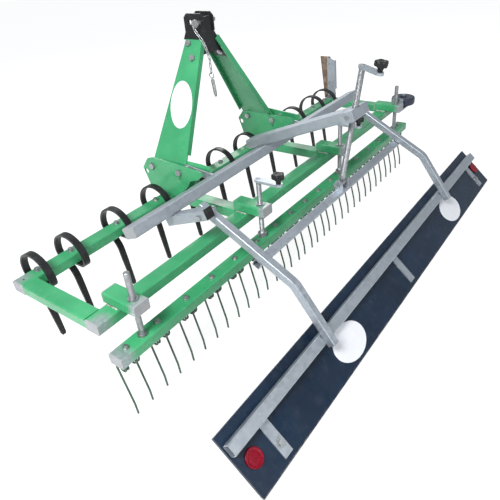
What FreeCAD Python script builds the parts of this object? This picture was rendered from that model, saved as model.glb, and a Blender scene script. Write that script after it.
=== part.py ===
import FreeCAD, Part
import math
import os

# Arena leveller, three-point mounted. Lengths in millimetres, angles in degrees.
# X runs along the machine, Y points forward to the tractor, Z points up.
# Y is measured from the rear face of the rear bar and Z from the ground until
# the shapes are written, when everything is moved to the middle of its footprint.

# Clearances
running_gap = 0.05
free_gap = 0.3
overrun = 2.0

# Main frame
machine_half = 1100.0
bar_width = 60.0
bar_height = 40.0
bar_wall = 3.0
bar_corner = 6.0
cap_thickness = 4.0
frame_depth = 443.0
frame_top = 370.0
inner_member_x = 326.0
drain_hole_radius = 4.0
drain_hole_inset = 26.0

# Rod holders on the rear bar, and the rods and screws in them
holder_front_y = 70.0
holder_rear_y = -77.0
rod_y = -43.0
guide_rod_inset = 115.0
guide_rod_x = machine_half - guide_rod_inset
crank_x = 326.0
rod_radius = 10.0
bush_radius = 15.0
bush_collar_radius = 17.0
bush_collar_height = 4.0
rod_top_height = 138.0
rod_chamfer = 2.0

# Harrow bar and its wire tines
harrow_drop = 101.0
harrow_tip_height = 13.0
harrow_wire_radius = 3.5
coil_radius = 17.5
coil_whole_turns = 2
coil_y = -36.0
leg_half_spacing = 33.0
leg_lean = 13.7
leg_kink_angle = 9.0
leg_kink_radius = 60.0
leg_end_length = 38.0
leg_blend = 14.0
bridge_half = 10.0
clamp_washer_radius = 11.0
clamp_washer_thickness = 3.0
tine_bolt_radius = 5.0
tine_bolt_across = 17.0
tine_bolt_head = 6.4
washer_radius = 11.0
washer_thickness = 2.0
harrow_inner_spacing = 117.5
harrow_inner_steps = 2
harrow_outer_steps = 6
harrow_end_inset = 45.0
foot_cup_radius = 18.0
foot_cup_floor = 5.0
foot_lid_height = 5.0
foot_disc_radius = 13.0
foot_disc_height = 6.0
foot_pad_radius = 17.0
foot_pad_height = 6.0

# Crank arms and star knobs
crank_radius = 90.0
lift_crank_radius = 82.0
lift_crank_rest = 20.0
crank_arm_width = 30.0
crank_arm_thickness = 10.0
knob_pin_radius = 5.0
knob_pin_length = 30.0
knob_hub_low_radius = 9.0
knob_hub_high_radius = 12.0
knob_hub_height = 18.0
knob_core_radius = 19.0
knob_star_height = 20.0
knob_lobe_radius = 7.0
knob_lobe_reach = 18.0
knob_lobes = 5

# Loop spring tines on the front bar
loop_steps_out = 4
loop_end_inset = 226.0
loop_last_inset = 85.0
loop_strip_width = 26.0
loop_strip_thickness = 8.0
loop_seat_length = 50.0
loop_rear_reach = 19.0
loop_rear_radius = 26.0
loop_radius = 82.0
loop_front_radius = 50.0
loop_front_angle = 50.0
loop_shank_run = 28.0
loop_shank_radius = 90.0
loop_shank_angle = 41.0
loop_shank_length = 164.0
loop_tip_width = 19.0
loop_bolt_inset = 23.0
loop_bolt_y = frame_depth - loop_bolt_inset
loop_bolt_radius = 6.0
loop_bolt_across = 19.0
loop_bolt_head = 7.5
loop_washer_radius = 13.0

# Lower hitch brackets
hitch_plate_x = 341.5
hitch_plate_gap = 44.0
hitch_plate_thickness = 8.0
hitch_pin_hole_radius = 11.2
hitch_hole_y = 518.0
hitch_hole_height = 86.0
hitch_bolt_radius = 8.0
hitch_bolt_across = 24.0
hitch_bolt_head = 10.0
hitch_front_bolt_y = 473.0
hitch_front_bolt_height = 120.0
hitch_rear_bolt_y = 322.0
hitch_rear_bolt_height = 118.0
hitch_small_hole_radius = 5.0
hitch_small_hole_drop = 29.0
hitch_spacer_radius = 14.0
hitch_plate_rear_y = 196.0
hitch_plate_length = 340.0
hitch_plate_height = 156.0
hitch_outline_shares = (
    (1.0, 0.654), (0.894, 0.942), (0.806, 1.0), (0.459, 0.974), (0.024, 0.904), (0.0, 0.821),
    (0.079, 0.667), (0.218, 0.564), (0.276, 0.359), (0.459, 0.0), (0.818, 0.0), (0.915, 0.103),
)

# Mast uprights
upright_thickness = 6.0
upright_flange = 24.0
upright_base_height = 134.0
upright_top_x = 62.0
upright_top_height = 549.0
upright_front_base_y = 506.0
upright_front_top_y = 480.0
upright_rear_base_y = 322.0
upright_rear_top_y = 391.0
upright_over_top = 12.0
upright_tab_height = 44.0
upright_flange_start = 40.0
mast_bolt_radius = 8.0
mast_bolt_across = 24.0
mast_bolt_head = 10.0
mast_bolt_high_y = 458.0
mast_bolt_high_drop = 6.0
mast_bolt_low_y = 418.0
mast_bolt_low_drop = 64.0

# Top link bracket
ear_half = 34.0
ear_thickness = 8.0
ear_front_y = 497.0
ear_rear_y = 393.0
ear_rise = 104.0
ear_corner = 15.0
bracket_foot_drop = 94.0
bracket_foot_gap = 2.0
bracket_web_drop = 49.0
bracket_web_rise = 91.0
bracket_web_thickness = 6.0
link_pin_radius = 9.5
link_hole_radius = 9.55
link_rise = 71.0
link_rear_hole_y = 414.0
link_front_hole_y = 464.0
link_pin_half = 58.0
link_pin_head_radius = 16.0
link_pin_head = 6.0
retainer_hole_radius = 3.0

# Tether chain and linch pin
chain_wire_radius = 1.8
chain_link_length = 26.0
chain_link_width = 12.4
chain_links = 10
chain_eye_radius = 8.0
chain_route = ((-66.0, 400.0, 40.0), (-67.0, 377.0, 64.0), (-65.0, 362.0, 102.0), (-66.0, 353.0, 132.0))
linch_radius = 7.5
linch_length = 70.0
linch_neck_radius = 3.5
linch_neck_length = 6.0
linch_tip_length = 12.0
linch_ring_radius = 11.0
linch_ring_wire = 2.0
linch_lean = 7.0

# Upper cross bar, boom and pivot tubes, which share one tilt
upper_tilt = 21.5
cross_bar_half = 814.0
cross_bar_y = 135.5
cross_bar_height = 121.5
boom_width = 80.0
boom_height = 40.0
boom_front_run = 74.0
boom_rear_run = 417.0
head_half = 62.0
head_length = 58.0
head_wall = 5.0
head_corner = 6.0
head_screw_hole_radius = 15.0
lug_thickness = 8.0
lug_height = 36.0
lug_foot_height = 12.0
slot_x = 225.0
slot_length = 30.0
slot_width = 6.0
pivot_tube_size = 40.0
pivot_tube_wall = 3.0
pivot_tube_corner = 5.0
left_pivot_tube_x = -620.0
right_pivot_tube_x = 540.0
pivot_tube_rear_y = -50.0
pivot_tube_front_run = 24.0
pivot_inset = 34.0
plug_depth = 10.0
pivot_drop = 6.0
pivot_bolt_radius = 6.0
pivot_bolt_across = 19.0
pivot_bolt_head = 7.5
side_gap = 1.0

# Board arms and cross tube
arm_size = 30.0
arm_wall = 2.6
arm_corner = 4.0
arm_slope = 28.4
arm_drop = 6.0
arm_front_length = 37.0
arm_first_length = 382.0
arm_bend_radius = 60.0
cross_tube_run = 241.0

# Levelling board
board_slope = 42.2
board_width = 216.0
board_thickness = 10.0
board_low_y = -565.0
rail_end_inset = 6.0
rail_start = 34.0
rail_width = 40.0
rail_height = 30.0
rail_wall = 3.0
rail_corner = 5.0
arm_landing = 58.0
arm_toe = 88.0
strap_width = 38.0
strap_thickness = 5.0
strap_end = 197.0
strap_left_inset = 145.0
strap_middle_x = 5.0
strap_right_inset = 107.0
strap_bolt_run = 155.0
strap_bolt_radius = 5.0
strap_bolt_across = 17.0
strap_bolt_head = 6.4
strap_washer_radius = 14.0
reflector_radius = 30.0
reflector_thickness = 7.0
reflector_left_inset = 55.0
reflector_right_inset = 40.0
reflector_left_run = 122.0
reflector_right_run = 108.0
oval_half_length = 94.0
oval_half_height = 63.0
oval_thickness = 1.0
oval_run = 140.0
oval_left_x = -485.0
oval_right_x = 602.0
mast_oval_half_length = 100.0
mast_oval_half_height = 58.0
mast_oval_run = 236.0
mast_oval_y = 422.0
mast_oval_slant = 17.0

# Central lifting screw, its nut block in the boom and its swivel block on the cross tube
screw_radius = 12.0
screw_top_length = 166.0
spigot_radius = 7.0
spigot_over = 1.5
nut_block_length = 40.0
nut_block_height = 28.0
nut_block_corner = 3.0
nut_block_gap = 0.5
trunnion_pin_radius = 10.0
swivel_rise = 24.0
swivel_ahead = 16.0
swivel_radius = 13.0
swivel_half = 20.5
swivel_side_gap = 0.5
swivel_pin_radius = 7.0
swivel_pin_gap = 0.9
swivel_plate = 6.0
swivel_plate_shares = (
    (0.45, 0.0), (-0.5, 0.0), (-0.85, 0.25), (-0.85, 0.75), (-0.62, 1.0), (-0.18, 1.0), (0.45, 0.25),
)
swivel_plate_length = 40.0
swivel_plate_height = 38.0
journal_radius = 7.0
journal_end_radius = 5.0
end_nut_across = 17.0
end_nut_height = 5.0

# Spacer wheel at the right end
wheel_out = 10.0
wheel_y = -38.0
wheel_radius = 64.0
wheel_thickness = 40.0
wheel_edge = 9.0
wheel_axle_radius = 8.0
wheel_boss_radius = 18.0
wheel_boss_height = 4.5
wheel_bracket_thickness = 6.0
wheel_bracket_half = 30.0
wheel_bracket_y = -42.0
wheel_bracket_top = 60.0
wheel_flange_out = 34.0
stud_end_radius = 6.0
stud_nut_across = 19.0
stud_nut_height = 8.0
stud_over = 2.0

# Folding edge blade at the right end
blade_bracket_thickness = 6.0
blade_bracket_half = 24.0
blade_bracket_height = 26.0
blade_pivot_inset = 32.0
blade_pivot_y = frame_depth - blade_pivot_inset
blade_pivot_height = 8.0
blade_pivot_radius = 8.0
blade_low = -14.0
blade_high = 232.0
blade_rear_high = 212.0
blade_rear_low_inset = 52.0
blade_rear_high_inset = 42.0
blade_joint_high_reach = 8.0
blade_front_low_reach = 25.0
blade_front_high_reach = 56.0
blade_rear_low_y = frame_depth - blade_rear_low_inset
blade_rear_high_y = frame_depth - blade_rear_high_inset
blade_joint_low_y = frame_depth
blade_joint_high_y = frame_depth + blade_joint_high_reach
blade_front_low_y = frame_depth + blade_front_low_reach
blade_front_high_y = frame_depth + blade_front_high_reach
blade_carrier_thickness = 6.0
blade_flange = 16.0
blade_thickness = 8.0
blade_lap = 16.0
blade_bolt_radius = 5.0
blade_bolt_across = 15.0
blade_bolt_head = 5.0
blade_bolt_shares = (0.38, 0.85)

# Counts
hex_sides = 6


def vec(x, y, z):
    return FreeCAD.Vector(x, y, z)


x_axis = vec(1, 0, 0)
y_axis = vec(0, 1, 0)
z_axis = vec(0, 0, 1)


def rad(angle):
    return math.radians(angle)


def unit(v):
    return v * (1 / v.Length)


def slanted(angle):
    """Forward direction that dips by angle, and the upward normal to it."""
    along = vec(0, math.cos(rad(angle)), -math.sin(rad(angle)))
    up = vec(0, math.sin(rad(angle)), math.cos(rad(angle)))
    return along, up


def block(x0, x1, y0, y1, z0, z1):
    return Part.makeBox(x1 - x0, y1 - y0, z1 - z0, vec(x0, y0, z0))


def rod(radius, start, direction, length):
    return Part.makeCylinder(radius, length, start, direction)


def cone(low_radius, high_radius, start, direction, length):
    return Part.makeCone(low_radius, high_radius, length, start, direction)


def polygon(points):
    return Part.Wire(Part.makePolygon(list(points) + [points[0]]))


def prism(points, run):
    return Part.Face(polygon(points)).extrude(run)


def rounded_wire(centre, u, v, width, height, radius):
    """Rectangle with round corners, spanned by the unit vectors u and v."""
    edges = []
    corners = ((1, 1), (-1, 1), (-1, -1), (1, -1))
    start = None
    first = None
    for sign_u, sign_v in corners:
        mid = centre + u * (sign_u * (width / 2 - radius)) + v * (sign_v * (height / 2 - radius))
        out_u = u * (sign_u * radius)
        out_v = v * (sign_v * radius)
        if sign_u == sign_v:
            a, b = mid + out_u, mid + out_v
        else:
            a, b = mid + out_v, mid + out_u
        middle = mid + (out_u + out_v) * math.cos(rad(45))
        if start is None:
            first = a
        else:
            edges.append(Part.makeLine(start, a))
        edges.append(Part.Arc(a, middle, b).toShape())
        start = b
    edges.append(Part.makeLine(start, first))
    return Part.Wire(edges)


def hollow_bar(centre, u, v, width, height, wall, corner, run):
    """Rectangular tube whose end section is centred on centre."""
    outer = rounded_wire(centre, u, v, width, height, corner)
    inner = rounded_wire(centre, u, v, width - 2 * wall, height - 2 * wall, corner - wall)
    return Part.Face(outer).extrude(run).cut(Part.Face(inner).extrude(run))


def filled_bar(centre, u, v, width, height, corner, run):
    return Part.Face(rounded_wire(centre, u, v, width, height, corner)).extrude(run)


def hexagon(across, seat, direction, height):
    """Six-sided head or nut standing on seat."""
    side = vec(-direction.z, direction.x, direction.y)
    u = unit(side - direction * side.dot(direction))
    v = direction.cross(u)
    reach = across / 2 / math.cos(rad(30))
    points = []
    for i in range(hex_sides):
        a = 2 * math.pi * i / hex_sides
        points.append(seat + u * (reach * math.cos(a)) + v * (reach * math.sin(a)))
    return prism(points, direction * height)


def bolt_and_nut(radius, across, head, seat, direction, grip, over):
    """Bolt with its head on seat, pointing along direction, and the nut at the far side."""
    shank = rod(radius, seat, direction, grip + head + over)
    screw = hexagon(across, seat - direction * head, direction, head).fuse(shank)
    nut_seat = seat + direction * grip
    nut = hexagon(across, nut_seat, direction, head)
    nut = nut.cut(rod(radius + running_gap, nut_seat - direction * overrun, direction, head + 2 * overrun))
    return [screw.removeSplitter(), nut]


def ring(outer, inner, start, direction, length):
    hole = rod(inner, start - direction * overrun, direction, length + 2 * overrun)
    return rod(outer, start, direction, length).cut(hole)


def mirrored(shape):
    return shape.mirror(vec(0, 0, 0), x_axis)


def both_sides(shape):
    return [shape, mirrored(shape)]


def moved(shape, offset):
    copy = shape.copy()
    copy.translate(offset)
    return copy


def drill(shape, radius, start, direction, length):
    return shape.cut(rod(radius, start, direction, length))


# Heights that everything shares
bar_top = frame_top
bar_low = frame_top - bar_height
bar_mid = frame_top - bar_height / 2
front_bar_y = frame_depth - bar_width / 2
rear_bar_y = bar_width / 2
end_member_x = machine_half - bar_width / 2
member_start = bar_width
member_run = frame_depth - 2 * bar_width
tube_half = machine_half - cap_thickness

parts = {}


# Main frame bars, their cross members and end caps
def long_bar(y, z_mid):
    return hollow_bar(vec(-tube_half, y, z_mid), y_axis, z_axis, bar_width, bar_height, bar_wall,
                      bar_corner, x_axis * (2 * tube_half))


def bar_caps(y, z_mid):
    cap = filled_bar(vec(tube_half, y, z_mid), y_axis, z_axis, bar_width, bar_height, bar_corner,
                     x_axis * cap_thickness)
    return both_sides(cap)


def member(x):
    return hollow_bar(vec(x, member_start, bar_mid), x_axis, z_axis, bar_width, bar_height, bar_wall,
                      bar_corner, y_axis * member_run)


loop_spacing = (machine_half - loop_end_inset) / loop_steps_out
loop_half = [loop_spacing * (i + 1) for i in range(loop_steps_out)] + [machine_half - loop_last_inset]
loop_places = [-x for x in reversed(loop_half)] + [0] + loop_half
front_bar = long_bar(front_bar_y, bar_mid)
for place in loop_places:
    front_bar = drill(front_bar, loop_bolt_radius + free_gap, vec(place, loop_bolt_y, bar_low - overrun),
                      z_axis, bar_height + 2 * overrun)
front_bar = drill(front_bar, drain_hole_radius, vec(-machine_half + drain_hole_inset, front_bar_y, bar_mid),
                  z_axis, bar_height)
parts["front_bar"] = [front_bar]
parts["rear_bar"] = [long_bar(rear_bar_y, bar_mid)]
parts["end_members"] = both_sides(member(end_member_x))
parts["inner_members"] = both_sides(member(inner_member_x))
parts["frame_end_caps"] = bar_caps(front_bar_y, bar_mid) + bar_caps(rear_bar_y, bar_mid)

# Rod holders: short tubes across the rear bar with a bush through each
holder_mid = bar_top + bar_height / 2
holder_top = bar_top + bar_height
holder_xs = (-guide_rod_x, -crank_x, crank_x, guide_rod_x)
holders = []
holder_caps = []
guide_bushes = []
crank_nuts = []
for x in holder_xs:
    tube = hollow_bar(vec(x, holder_rear_y + cap_thickness, holder_mid), x_axis, z_axis, bar_width,
                      bar_height, bar_wall, bar_corner,
                      y_axis * (holder_front_y - holder_rear_y - 2 * cap_thickness))
    tube = drill(tube, bush_radius + free_gap, vec(x, rod_y, bar_top - overrun), z_axis,
                 bar_height + 2 * overrun)
    holders.append(tube)
    for y in (holder_rear_y, holder_front_y - cap_thickness):
        holder_caps.append(filled_bar(vec(x, y, holder_mid), x_axis, z_axis, bar_width, bar_height,
                                      bar_corner, y_axis * cap_thickness))
    bush = rod(bush_radius, vec(x, rod_y, bar_top), z_axis, bar_height)
    collar = rod(bush_collar_radius, vec(x, rod_y, holder_top), z_axis, bush_collar_height)
    bush = bush.fuse(collar).removeSplitter()
    bush = drill(bush, rod_radius + running_gap, vec(x, rod_y, bar_top - overrun), z_axis,
                 bar_height + bush_collar_height + 2 * overrun)
    if abs(x) == crank_x:
        crank_nuts.append(bush)
    else:
        guide_bushes.append(bush)
parts["rod_holders"] = holders
parts["holder_end_caps"] = holder_caps
parts["guide_bushes"] = guide_bushes
parts["crank_nuts"] = crank_nuts


# Flat strips and bent tubes follow a path of straight runs and arcs in the YZ plane
def follow(start, heading, steps):
    """Points and edges of a path. A step is (length,) or (radius, turn), turn left positive."""
    pieces = []
    p = start
    a = heading
    for step in steps:
        d = vec(0, math.cos(rad(a)), math.sin(rad(a)))
        left = vec(0, -math.sin(rad(a)), math.cos(rad(a)))
        if len(step) == 1:
            q = p + d * step[0]
            pieces.append(("line", p, q, left, left, None, 0))
            p = q
            continue
        radius, turn = step
        side = 1 if turn > 0 else -1
        centre = p + left * (side * radius)
        b = a + turn
        end_left = vec(0, -math.sin(rad(b)), math.cos(rad(b)))
        q = centre - end_left * (side * radius)
        half = a + turn / 2
        half_left = vec(0, -math.sin(rad(half)), math.cos(rad(half)))
        pieces.append(("arc", p, q, left, end_left, centre, side * radius, half_left))
        p = q
        a = b
    return pieces, p, a


def offset_edges(pieces, shift):
    edges = []
    for piece in pieces:
        if piece[0] == "line":
            edges.append(Part.makeLine(piece[1] + piece[3] * shift, piece[2] + piece[4] * shift))
        else:
            centre = piece[5]
            reach = piece[6] - shift
            a = centre - piece[3] * reach
            b = centre - piece[7] * reach
            c = centre - piece[4] * reach
            edges.append(Part.Arc(a, b, c).toShape())
    return edges


def strip(pieces, thickness, width, x):
    """Flat strip of even thickness along the path, centred on x."""
    left = offset_edges(pieces, thickness / 2)
    right = offset_edges(pieces, -thickness / 2)
    first, last = pieces[0], pieces[-1]
    start_cap = Part.makeLine(first[1] - first[3] * (thickness / 2), first[1] + first[3] * (thickness / 2))
    end_cap = Part.makeLine(last[2] + last[4] * (thickness / 2), last[2] - last[4] * (thickness / 2))
    wire = Part.Wire(Part.__sortEdges__(left + right + [start_cap, end_cap]))
    shape = Part.Face(wire).extrude(x_axis * width)
    return moved(shape, x_axis * (x - width / 2))


# Loop spring tines: clamped under the front bar, round it once and down to the ground
seat_z = bar_low - loop_strip_thickness / 2
loop_start = vec(0, loop_bolt_y + loop_seat_length / 2, seat_z)
loop_seat_run = loop_start.y - frame_depth + bar_width + loop_rear_reach
loop_steps = (
    (loop_seat_run,),
    (loop_rear_radius, -90.0),
    (loop_radius, -180.0),
    (loop_front_radius, -loop_front_angle),
    (loop_shank_run,),
    (loop_shank_radius, loop_shank_angle),
    (loop_shank_length,),
)
loop_path, loop_tip, loop_heading = follow(loop_start, 180.0, loop_steps)
loop_tine = strip(loop_path, loop_strip_thickness, loop_strip_width, 0.0)
taper_top = bar_low - loop_front_radius - loop_strip_thickness
taper_low = loop_tip.z - overrun
tip_round = loop_tip_width / 2
trim = [
    vec(-loop_strip_width / 2 - overrun, 0, bar_top + 2 * loop_radius),
    vec(-loop_strip_width / 2 - overrun, 0, taper_top),
    vec(-tip_round, 0, taper_low + tip_round),
    vec(-tip_round * math.cos(rad(45)), 0, taper_low + tip_round * (1 - math.sin(rad(45)))),
    vec(0, 0, taper_low),
]
trim = trim + [vec(-p.x, 0, p.z) for p in reversed(trim[:-1])]
trim_block = prism(trim, y_axis * (frame_depth + 2 * loop_radius))
loop_tine = loop_tine.common(trim_block)
loop_tine = drill(loop_tine, loop_bolt_radius + free_gap,
                  vec(0, loop_bolt_y, seat_z - loop_strip_thickness), z_axis, loop_strip_thickness * 2)
parts["front_tines"] = [moved(loop_tine, x_axis * x) for x in loop_places]
loop_bolts = []
for x in loop_places:
    seat = vec(x, loop_bolt_y, bar_low - loop_strip_thickness)
    grip = bar_height + loop_strip_thickness + washer_thickness
    loop_bolts = loop_bolts + bolt_and_nut(loop_bolt_radius, loop_bolt_across, loop_bolt_head, seat, z_axis,
                                           grip, washer_thickness)
    loop_bolts.append(ring(loop_washer_radius, loop_bolt_radius + free_gap, vec(x, loop_bolt_y, bar_top),
                           z_axis, washer_thickness))
parts["front_tine_bolts"] = loop_bolts

# Lower hitch brackets: pairs of plates standing on the front bar
plate_centres = (hitch_plate_x - hitch_plate_gap / 2 - hitch_plate_thickness,
                 hitch_plate_x + hitch_plate_gap / 2)
hitch_rear_bolt = vec(0, hitch_rear_bolt_y, frame_top + hitch_rear_bolt_height)
hitch_front_bolt = vec(0, hitch_front_bolt_y, frame_top + hitch_front_bolt_height)
hitch_hole = vec(0, hitch_hole_y, frame_top + hitch_hole_height)
plate_inner_face = plate_centres[0] + hitch_plate_thickness
upright_base_x = plate_inner_face + upright_thickness
lean_run = math.hypot(upright_base_x - upright_top_x, upright_top_height - upright_base_height)
lean_up = vec(upright_top_x - upright_base_x, 0, upright_top_height - upright_base_height) * (1 / lean_run)
lean_out = vec(lean_up.z, 0, -lean_up.x)
upright_foot = vec(upright_base_x, 0, frame_top + upright_base_height)


def on_upright(y, run, depth):
    """Place on the outer face of the right upright, depth inside it."""
    return upright_foot + lean_up * run + y_axis * y - lean_out * depth


bevel_depth = upright_thickness + free_gap
bevel = prism([on_upright(0, -upright_thickness, bevel_depth), on_upright(0, lean_run, bevel_depth),
               on_upright(0, lean_run, bevel_depth - lean_run),
               on_upright(0, -upright_thickness, bevel_depth - lean_run)],
              y_axis * (hitch_plate_rear_y + 2 * hitch_plate_length))
plates = []
for x in plate_centres:
    outline = [vec(x, hitch_plate_rear_y + y * hitch_plate_length, frame_top + z * hitch_plate_height)
               for y, z in hitch_outline_shares]
    plate = prism(outline, x_axis * hitch_plate_thickness)
    for centre, radius in ((hitch_hole, hitch_pin_hole_radius),
                           (hitch_front_bolt, hitch_bolt_radius + free_gap),
                           (hitch_rear_bolt, hitch_bolt_radius + free_gap),
                           (hitch_rear_bolt - z_axis * hitch_small_hole_drop, hitch_small_hole_radius)):
        plate = drill(plate, radius, vec(x - overrun, centre.y, centre.z), x_axis,
                      hitch_plate_thickness + 2 * overrun)
    if x < upright_base_x:
        plate = plate.cut(bevel)
    plates.append(plate)
parts["hitch_plates"] = plates + [mirrored(p) for p in plates]
plates_inner = plate_centres[0]
plates_outer = plate_centres[1] + hitch_plate_thickness
plates_width = plates_outer - plates_inner
hitch_bolts = []
for centre in (hitch_front_bolt, hitch_rear_bolt):
    seat = vec(plates_outer, centre.y, centre.z)
    hitch_bolts = hitch_bolts + bolt_and_nut(hitch_bolt_radius, hitch_bolt_across, hitch_bolt_head, seat,
                                             x_axis * -1, plates_width, washer_thickness)
parts["hitch_bolts"] = hitch_bolts + [mirrored(b) for b in hitch_bolts]
plate_outer_face = plates_outer - hitch_plate_thickness
lug_outer_x = upright_base_x + lug_thickness
spacer_runs = (
    (hitch_front_bolt, upright_base_x, plate_outer_face),
    (hitch_rear_bolt, lug_outer_x, plate_outer_face),
)
spacers = []
for centre, start_x, end_x in spacer_runs:
    spacers.append(ring(hitch_spacer_radius, hitch_bolt_radius + free_gap,
                        vec(start_x, centre.y, centre.z), x_axis, end_x - start_x))
parts["hitch_bolts"] = parts["hitch_bolts"] + spacers + [mirrored(p) for p in spacers]

# Mast uprights: folded channels that lean together, with a bolted tab at the foot

def upright_front_y(run):
    return upright_front_base_y + (upright_front_top_y - upright_front_base_y) * run / lean_run


def upright_rear_y(run):
    return upright_rear_base_y + (upright_rear_top_y - upright_rear_base_y) * run / lean_run


upright_end = lean_run + upright_over_top
web = prism([on_upright(upright_front_y(0), 0, 0), on_upright(upright_front_y(upright_end), upright_end, 0),
             on_upright(upright_rear_y(upright_end), upright_end, 0), on_upright(upright_rear_y(0), 0, 0)],
            lean_out * -upright_thickness)


def upright_edge(edge_y, inward):
    """Flange folded in along the front or rear edge of the web."""
    low = on_upright(edge_y(upright_flange_start), upright_flange_start, 0)
    high = on_upright(edge_y(upright_end), upright_end, 0)
    step = y_axis * (inward * upright_thickness)
    low_inner = on_upright(edge_y(upright_flange_start), upright_flange_start, upright_flange)
    high_inner = on_upright(edge_y(upright_end), upright_end, upright_flange)
    return Part.Face(polygon([low, high, high_inner, low_inner])).extrude(step)


tab_top = frame_top + upright_base_height
tab = block(plate_inner_face, upright_base_x, upright_rear_base_y - hitch_bolt_across,
            upright_front_base_y - upright_thickness, tab_top - upright_tab_height, tab_top)
upright = web.fuse([upright_edge(upright_front_y, -1), upright_edge(upright_rear_y, 1), tab]).removeSplitter()
for centre in (hitch_front_bolt, hitch_rear_bolt):
    upright = drill(upright, hitch_bolt_radius + free_gap,
                    vec(plate_inner_face - overrun, centre.y, centre.z), x_axis,
                    upright_thickness + 2 * overrun)
mast_bolt_places = (
    (mast_bolt_high_y, lean_run - mast_bolt_high_drop),
    (mast_bolt_low_y, lean_run - mast_bolt_low_drop),
)
for y, run in mast_bolt_places:
    upright = drill(upright, mast_bolt_radius + free_gap, on_upright(y, run, -overrun), lean_out * -1,
                    upright_thickness + 2 * overrun)
parts["mast_uprights"] = both_sides(upright)

# Top link bracket: two ears that splay out along the uprights, joined by a rear web
flange_depth = upright_thickness
fold_run = (upright_base_x - flange_depth * lean_out.x - ear_half) / -lean_up.x
fold = on_upright(0, fold_run, flange_depth)
foot_low = on_upright(0, lean_run - bracket_foot_drop, flange_depth)
foot_front = upright_front_y(lean_run) - upright_thickness - bracket_foot_gap
foot_rear = upright_rear_y(lean_run) + upright_thickness + bracket_foot_gap
ear_top = frame_top + upright_top_height + ear_rise
ear = prism([
    vec(ear_half, ear_front_y, fold.z),
    vec(ear_half, ear_front_y, ear_top - ear_corner), vec(ear_half, ear_front_y - ear_corner, ear_top),
    vec(ear_half, ear_rear_y + ear_corner, ear_top), vec(ear_half, ear_rear_y, ear_top - ear_corner),
    vec(ear_half, ear_rear_y, fold.z)], x_axis * -ear_thickness)
lip = on_upright(0, lean_run + ear_thickness + upright_thickness, flange_depth)
splay = prism([vec(fold.x, ear_front_y, fold.z), vec(fold.x, foot_rear, fold.z),
               vec(foot_low.x, foot_rear, foot_low.z), vec(foot_low.x, foot_front, foot_low.z),
               vec(lip.x, foot_front, lip.z), vec(lip.x, ear_front_y, lip.z)], lean_out * -ear_thickness)
knee = prism([vec(ear_half, ear_front_y, fold.z), vec(ear_half - ear_thickness, ear_front_y, fold.z),
              vec(fold.x - lean_out.x * ear_thickness, ear_front_y, fold.z - lean_out.z * ear_thickness)],
             y_axis * (foot_rear - ear_front_y))
bracket_side = ear.fuse([splay, knee]).removeSplitter()
web_low = frame_top + upright_top_height - bracket_web_drop
web_high = frame_top + upright_top_height + bracket_web_rise
web_low_share = (web_low - foot_low.z) / (fold.z - foot_low.z)
web_low_x = foot_low.x + (fold.x - foot_low.x) * web_low_share - ear_thickness
rear_web = prism([vec(-web_low_x, foot_rear, web_low), vec(web_low_x, foot_rear, web_low),
                  vec(ear_half - ear_thickness / 2, foot_rear, fold.z),
                  vec(ear_half - ear_thickness / 2, foot_rear, web_high),
                  vec(ear_thickness / 2 - ear_half, foot_rear, web_high),
                  vec(ear_thickness / 2 - ear_half, foot_rear, fold.z)], y_axis * bracket_web_thickness)
bracket = bracket_side.fuse([mirrored(bracket_side), rear_web]).removeSplitter()
link_z = frame_top + upright_top_height + link_rise
for y in (link_front_hole_y, link_rear_hole_y):
    bracket = drill(bracket, link_hole_radius, vec(-ear_half - overrun, y, link_z), x_axis,
                    2 * ear_half + 2 * overrun)
for side in (1, -1):
    for y, run in mast_bolt_places:
        start = on_upright(y, run, -overrun)
        start = vec(side * start.x, start.y, start.z)
        into = vec(-side * lean_out.x, 0, -lean_out.z)
        bracket = drill(bracket, mast_bolt_radius + free_gap, start, into,
                        upright_thickness + ear_thickness + 2 * overrun)
parts["top_link_bracket"] = [bracket]
mast_bolts = []
for y, run in mast_bolt_places:
    mast_bolts = mast_bolts + bolt_and_nut(mast_bolt_radius, mast_bolt_across, mast_bolt_head,
                                           on_upright(y, run, 0), lean_out * -1,
                                           upright_thickness + ear_thickness, washer_thickness)
parts["mast_bolts"] = mast_bolts + [mirrored(b) for b in mast_bolts]

# Top link pin, parked in the rear holes of the bracket
pin_start = vec(-link_pin_half, link_rear_hole_y, link_z)
link_pin = rod(link_pin_radius, pin_start, x_axis, 2 * link_pin_half)
pin_head = rod(link_pin_head_radius, pin_start - x_axis * link_pin_head, x_axis, link_pin_head)
eye_centre = pin_start - x_axis * (link_pin_head + chain_wire_radius)
eye_centre = eye_centre - z_axis * (link_pin_head_radius - chain_wire_radius)
pin_eye = Part.makeTorus(chain_eye_radius, chain_wire_radius, eye_centre, y_axis)
link_pin = link_pin.fuse([pin_head, pin_eye]).removeSplitter()
retainer_hole = vec(link_pin_half - link_pin_head, link_rear_hole_y, link_z - 2 * link_pin_radius)
link_pin = drill(link_pin, retainer_hole_radius, retainer_hole, z_axis, 4 * link_pin_radius)
parts["top_link_pin"] = [link_pin]


# Tether chain: welded links that hang from the pin's head, with the linch pin at the end
def chain_link(centre, along, across):
    half = chain_link_length / 2 - chain_link_width / 2
    r = chain_link_width / 2 - chain_wire_radius
    a = centre + along * half
    b = centre - along * half
    edges = [Part.makeLine(b + across * r, a + across * r), Part.Arc(a + across * r, a + along * r, a -
             across * r).toShape(), Part.makeLine(a - across * r, b - across * r),
             Part.Arc(b - across * r, b - along * r, b + across * r).toShape()]
    spine = Part.Wire(edges)
    profile = Part.Wire(Part.makeCircle(chain_wire_radius, b + across * r, along))
    return spine.makePipeShell([profile], True, False)


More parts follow.
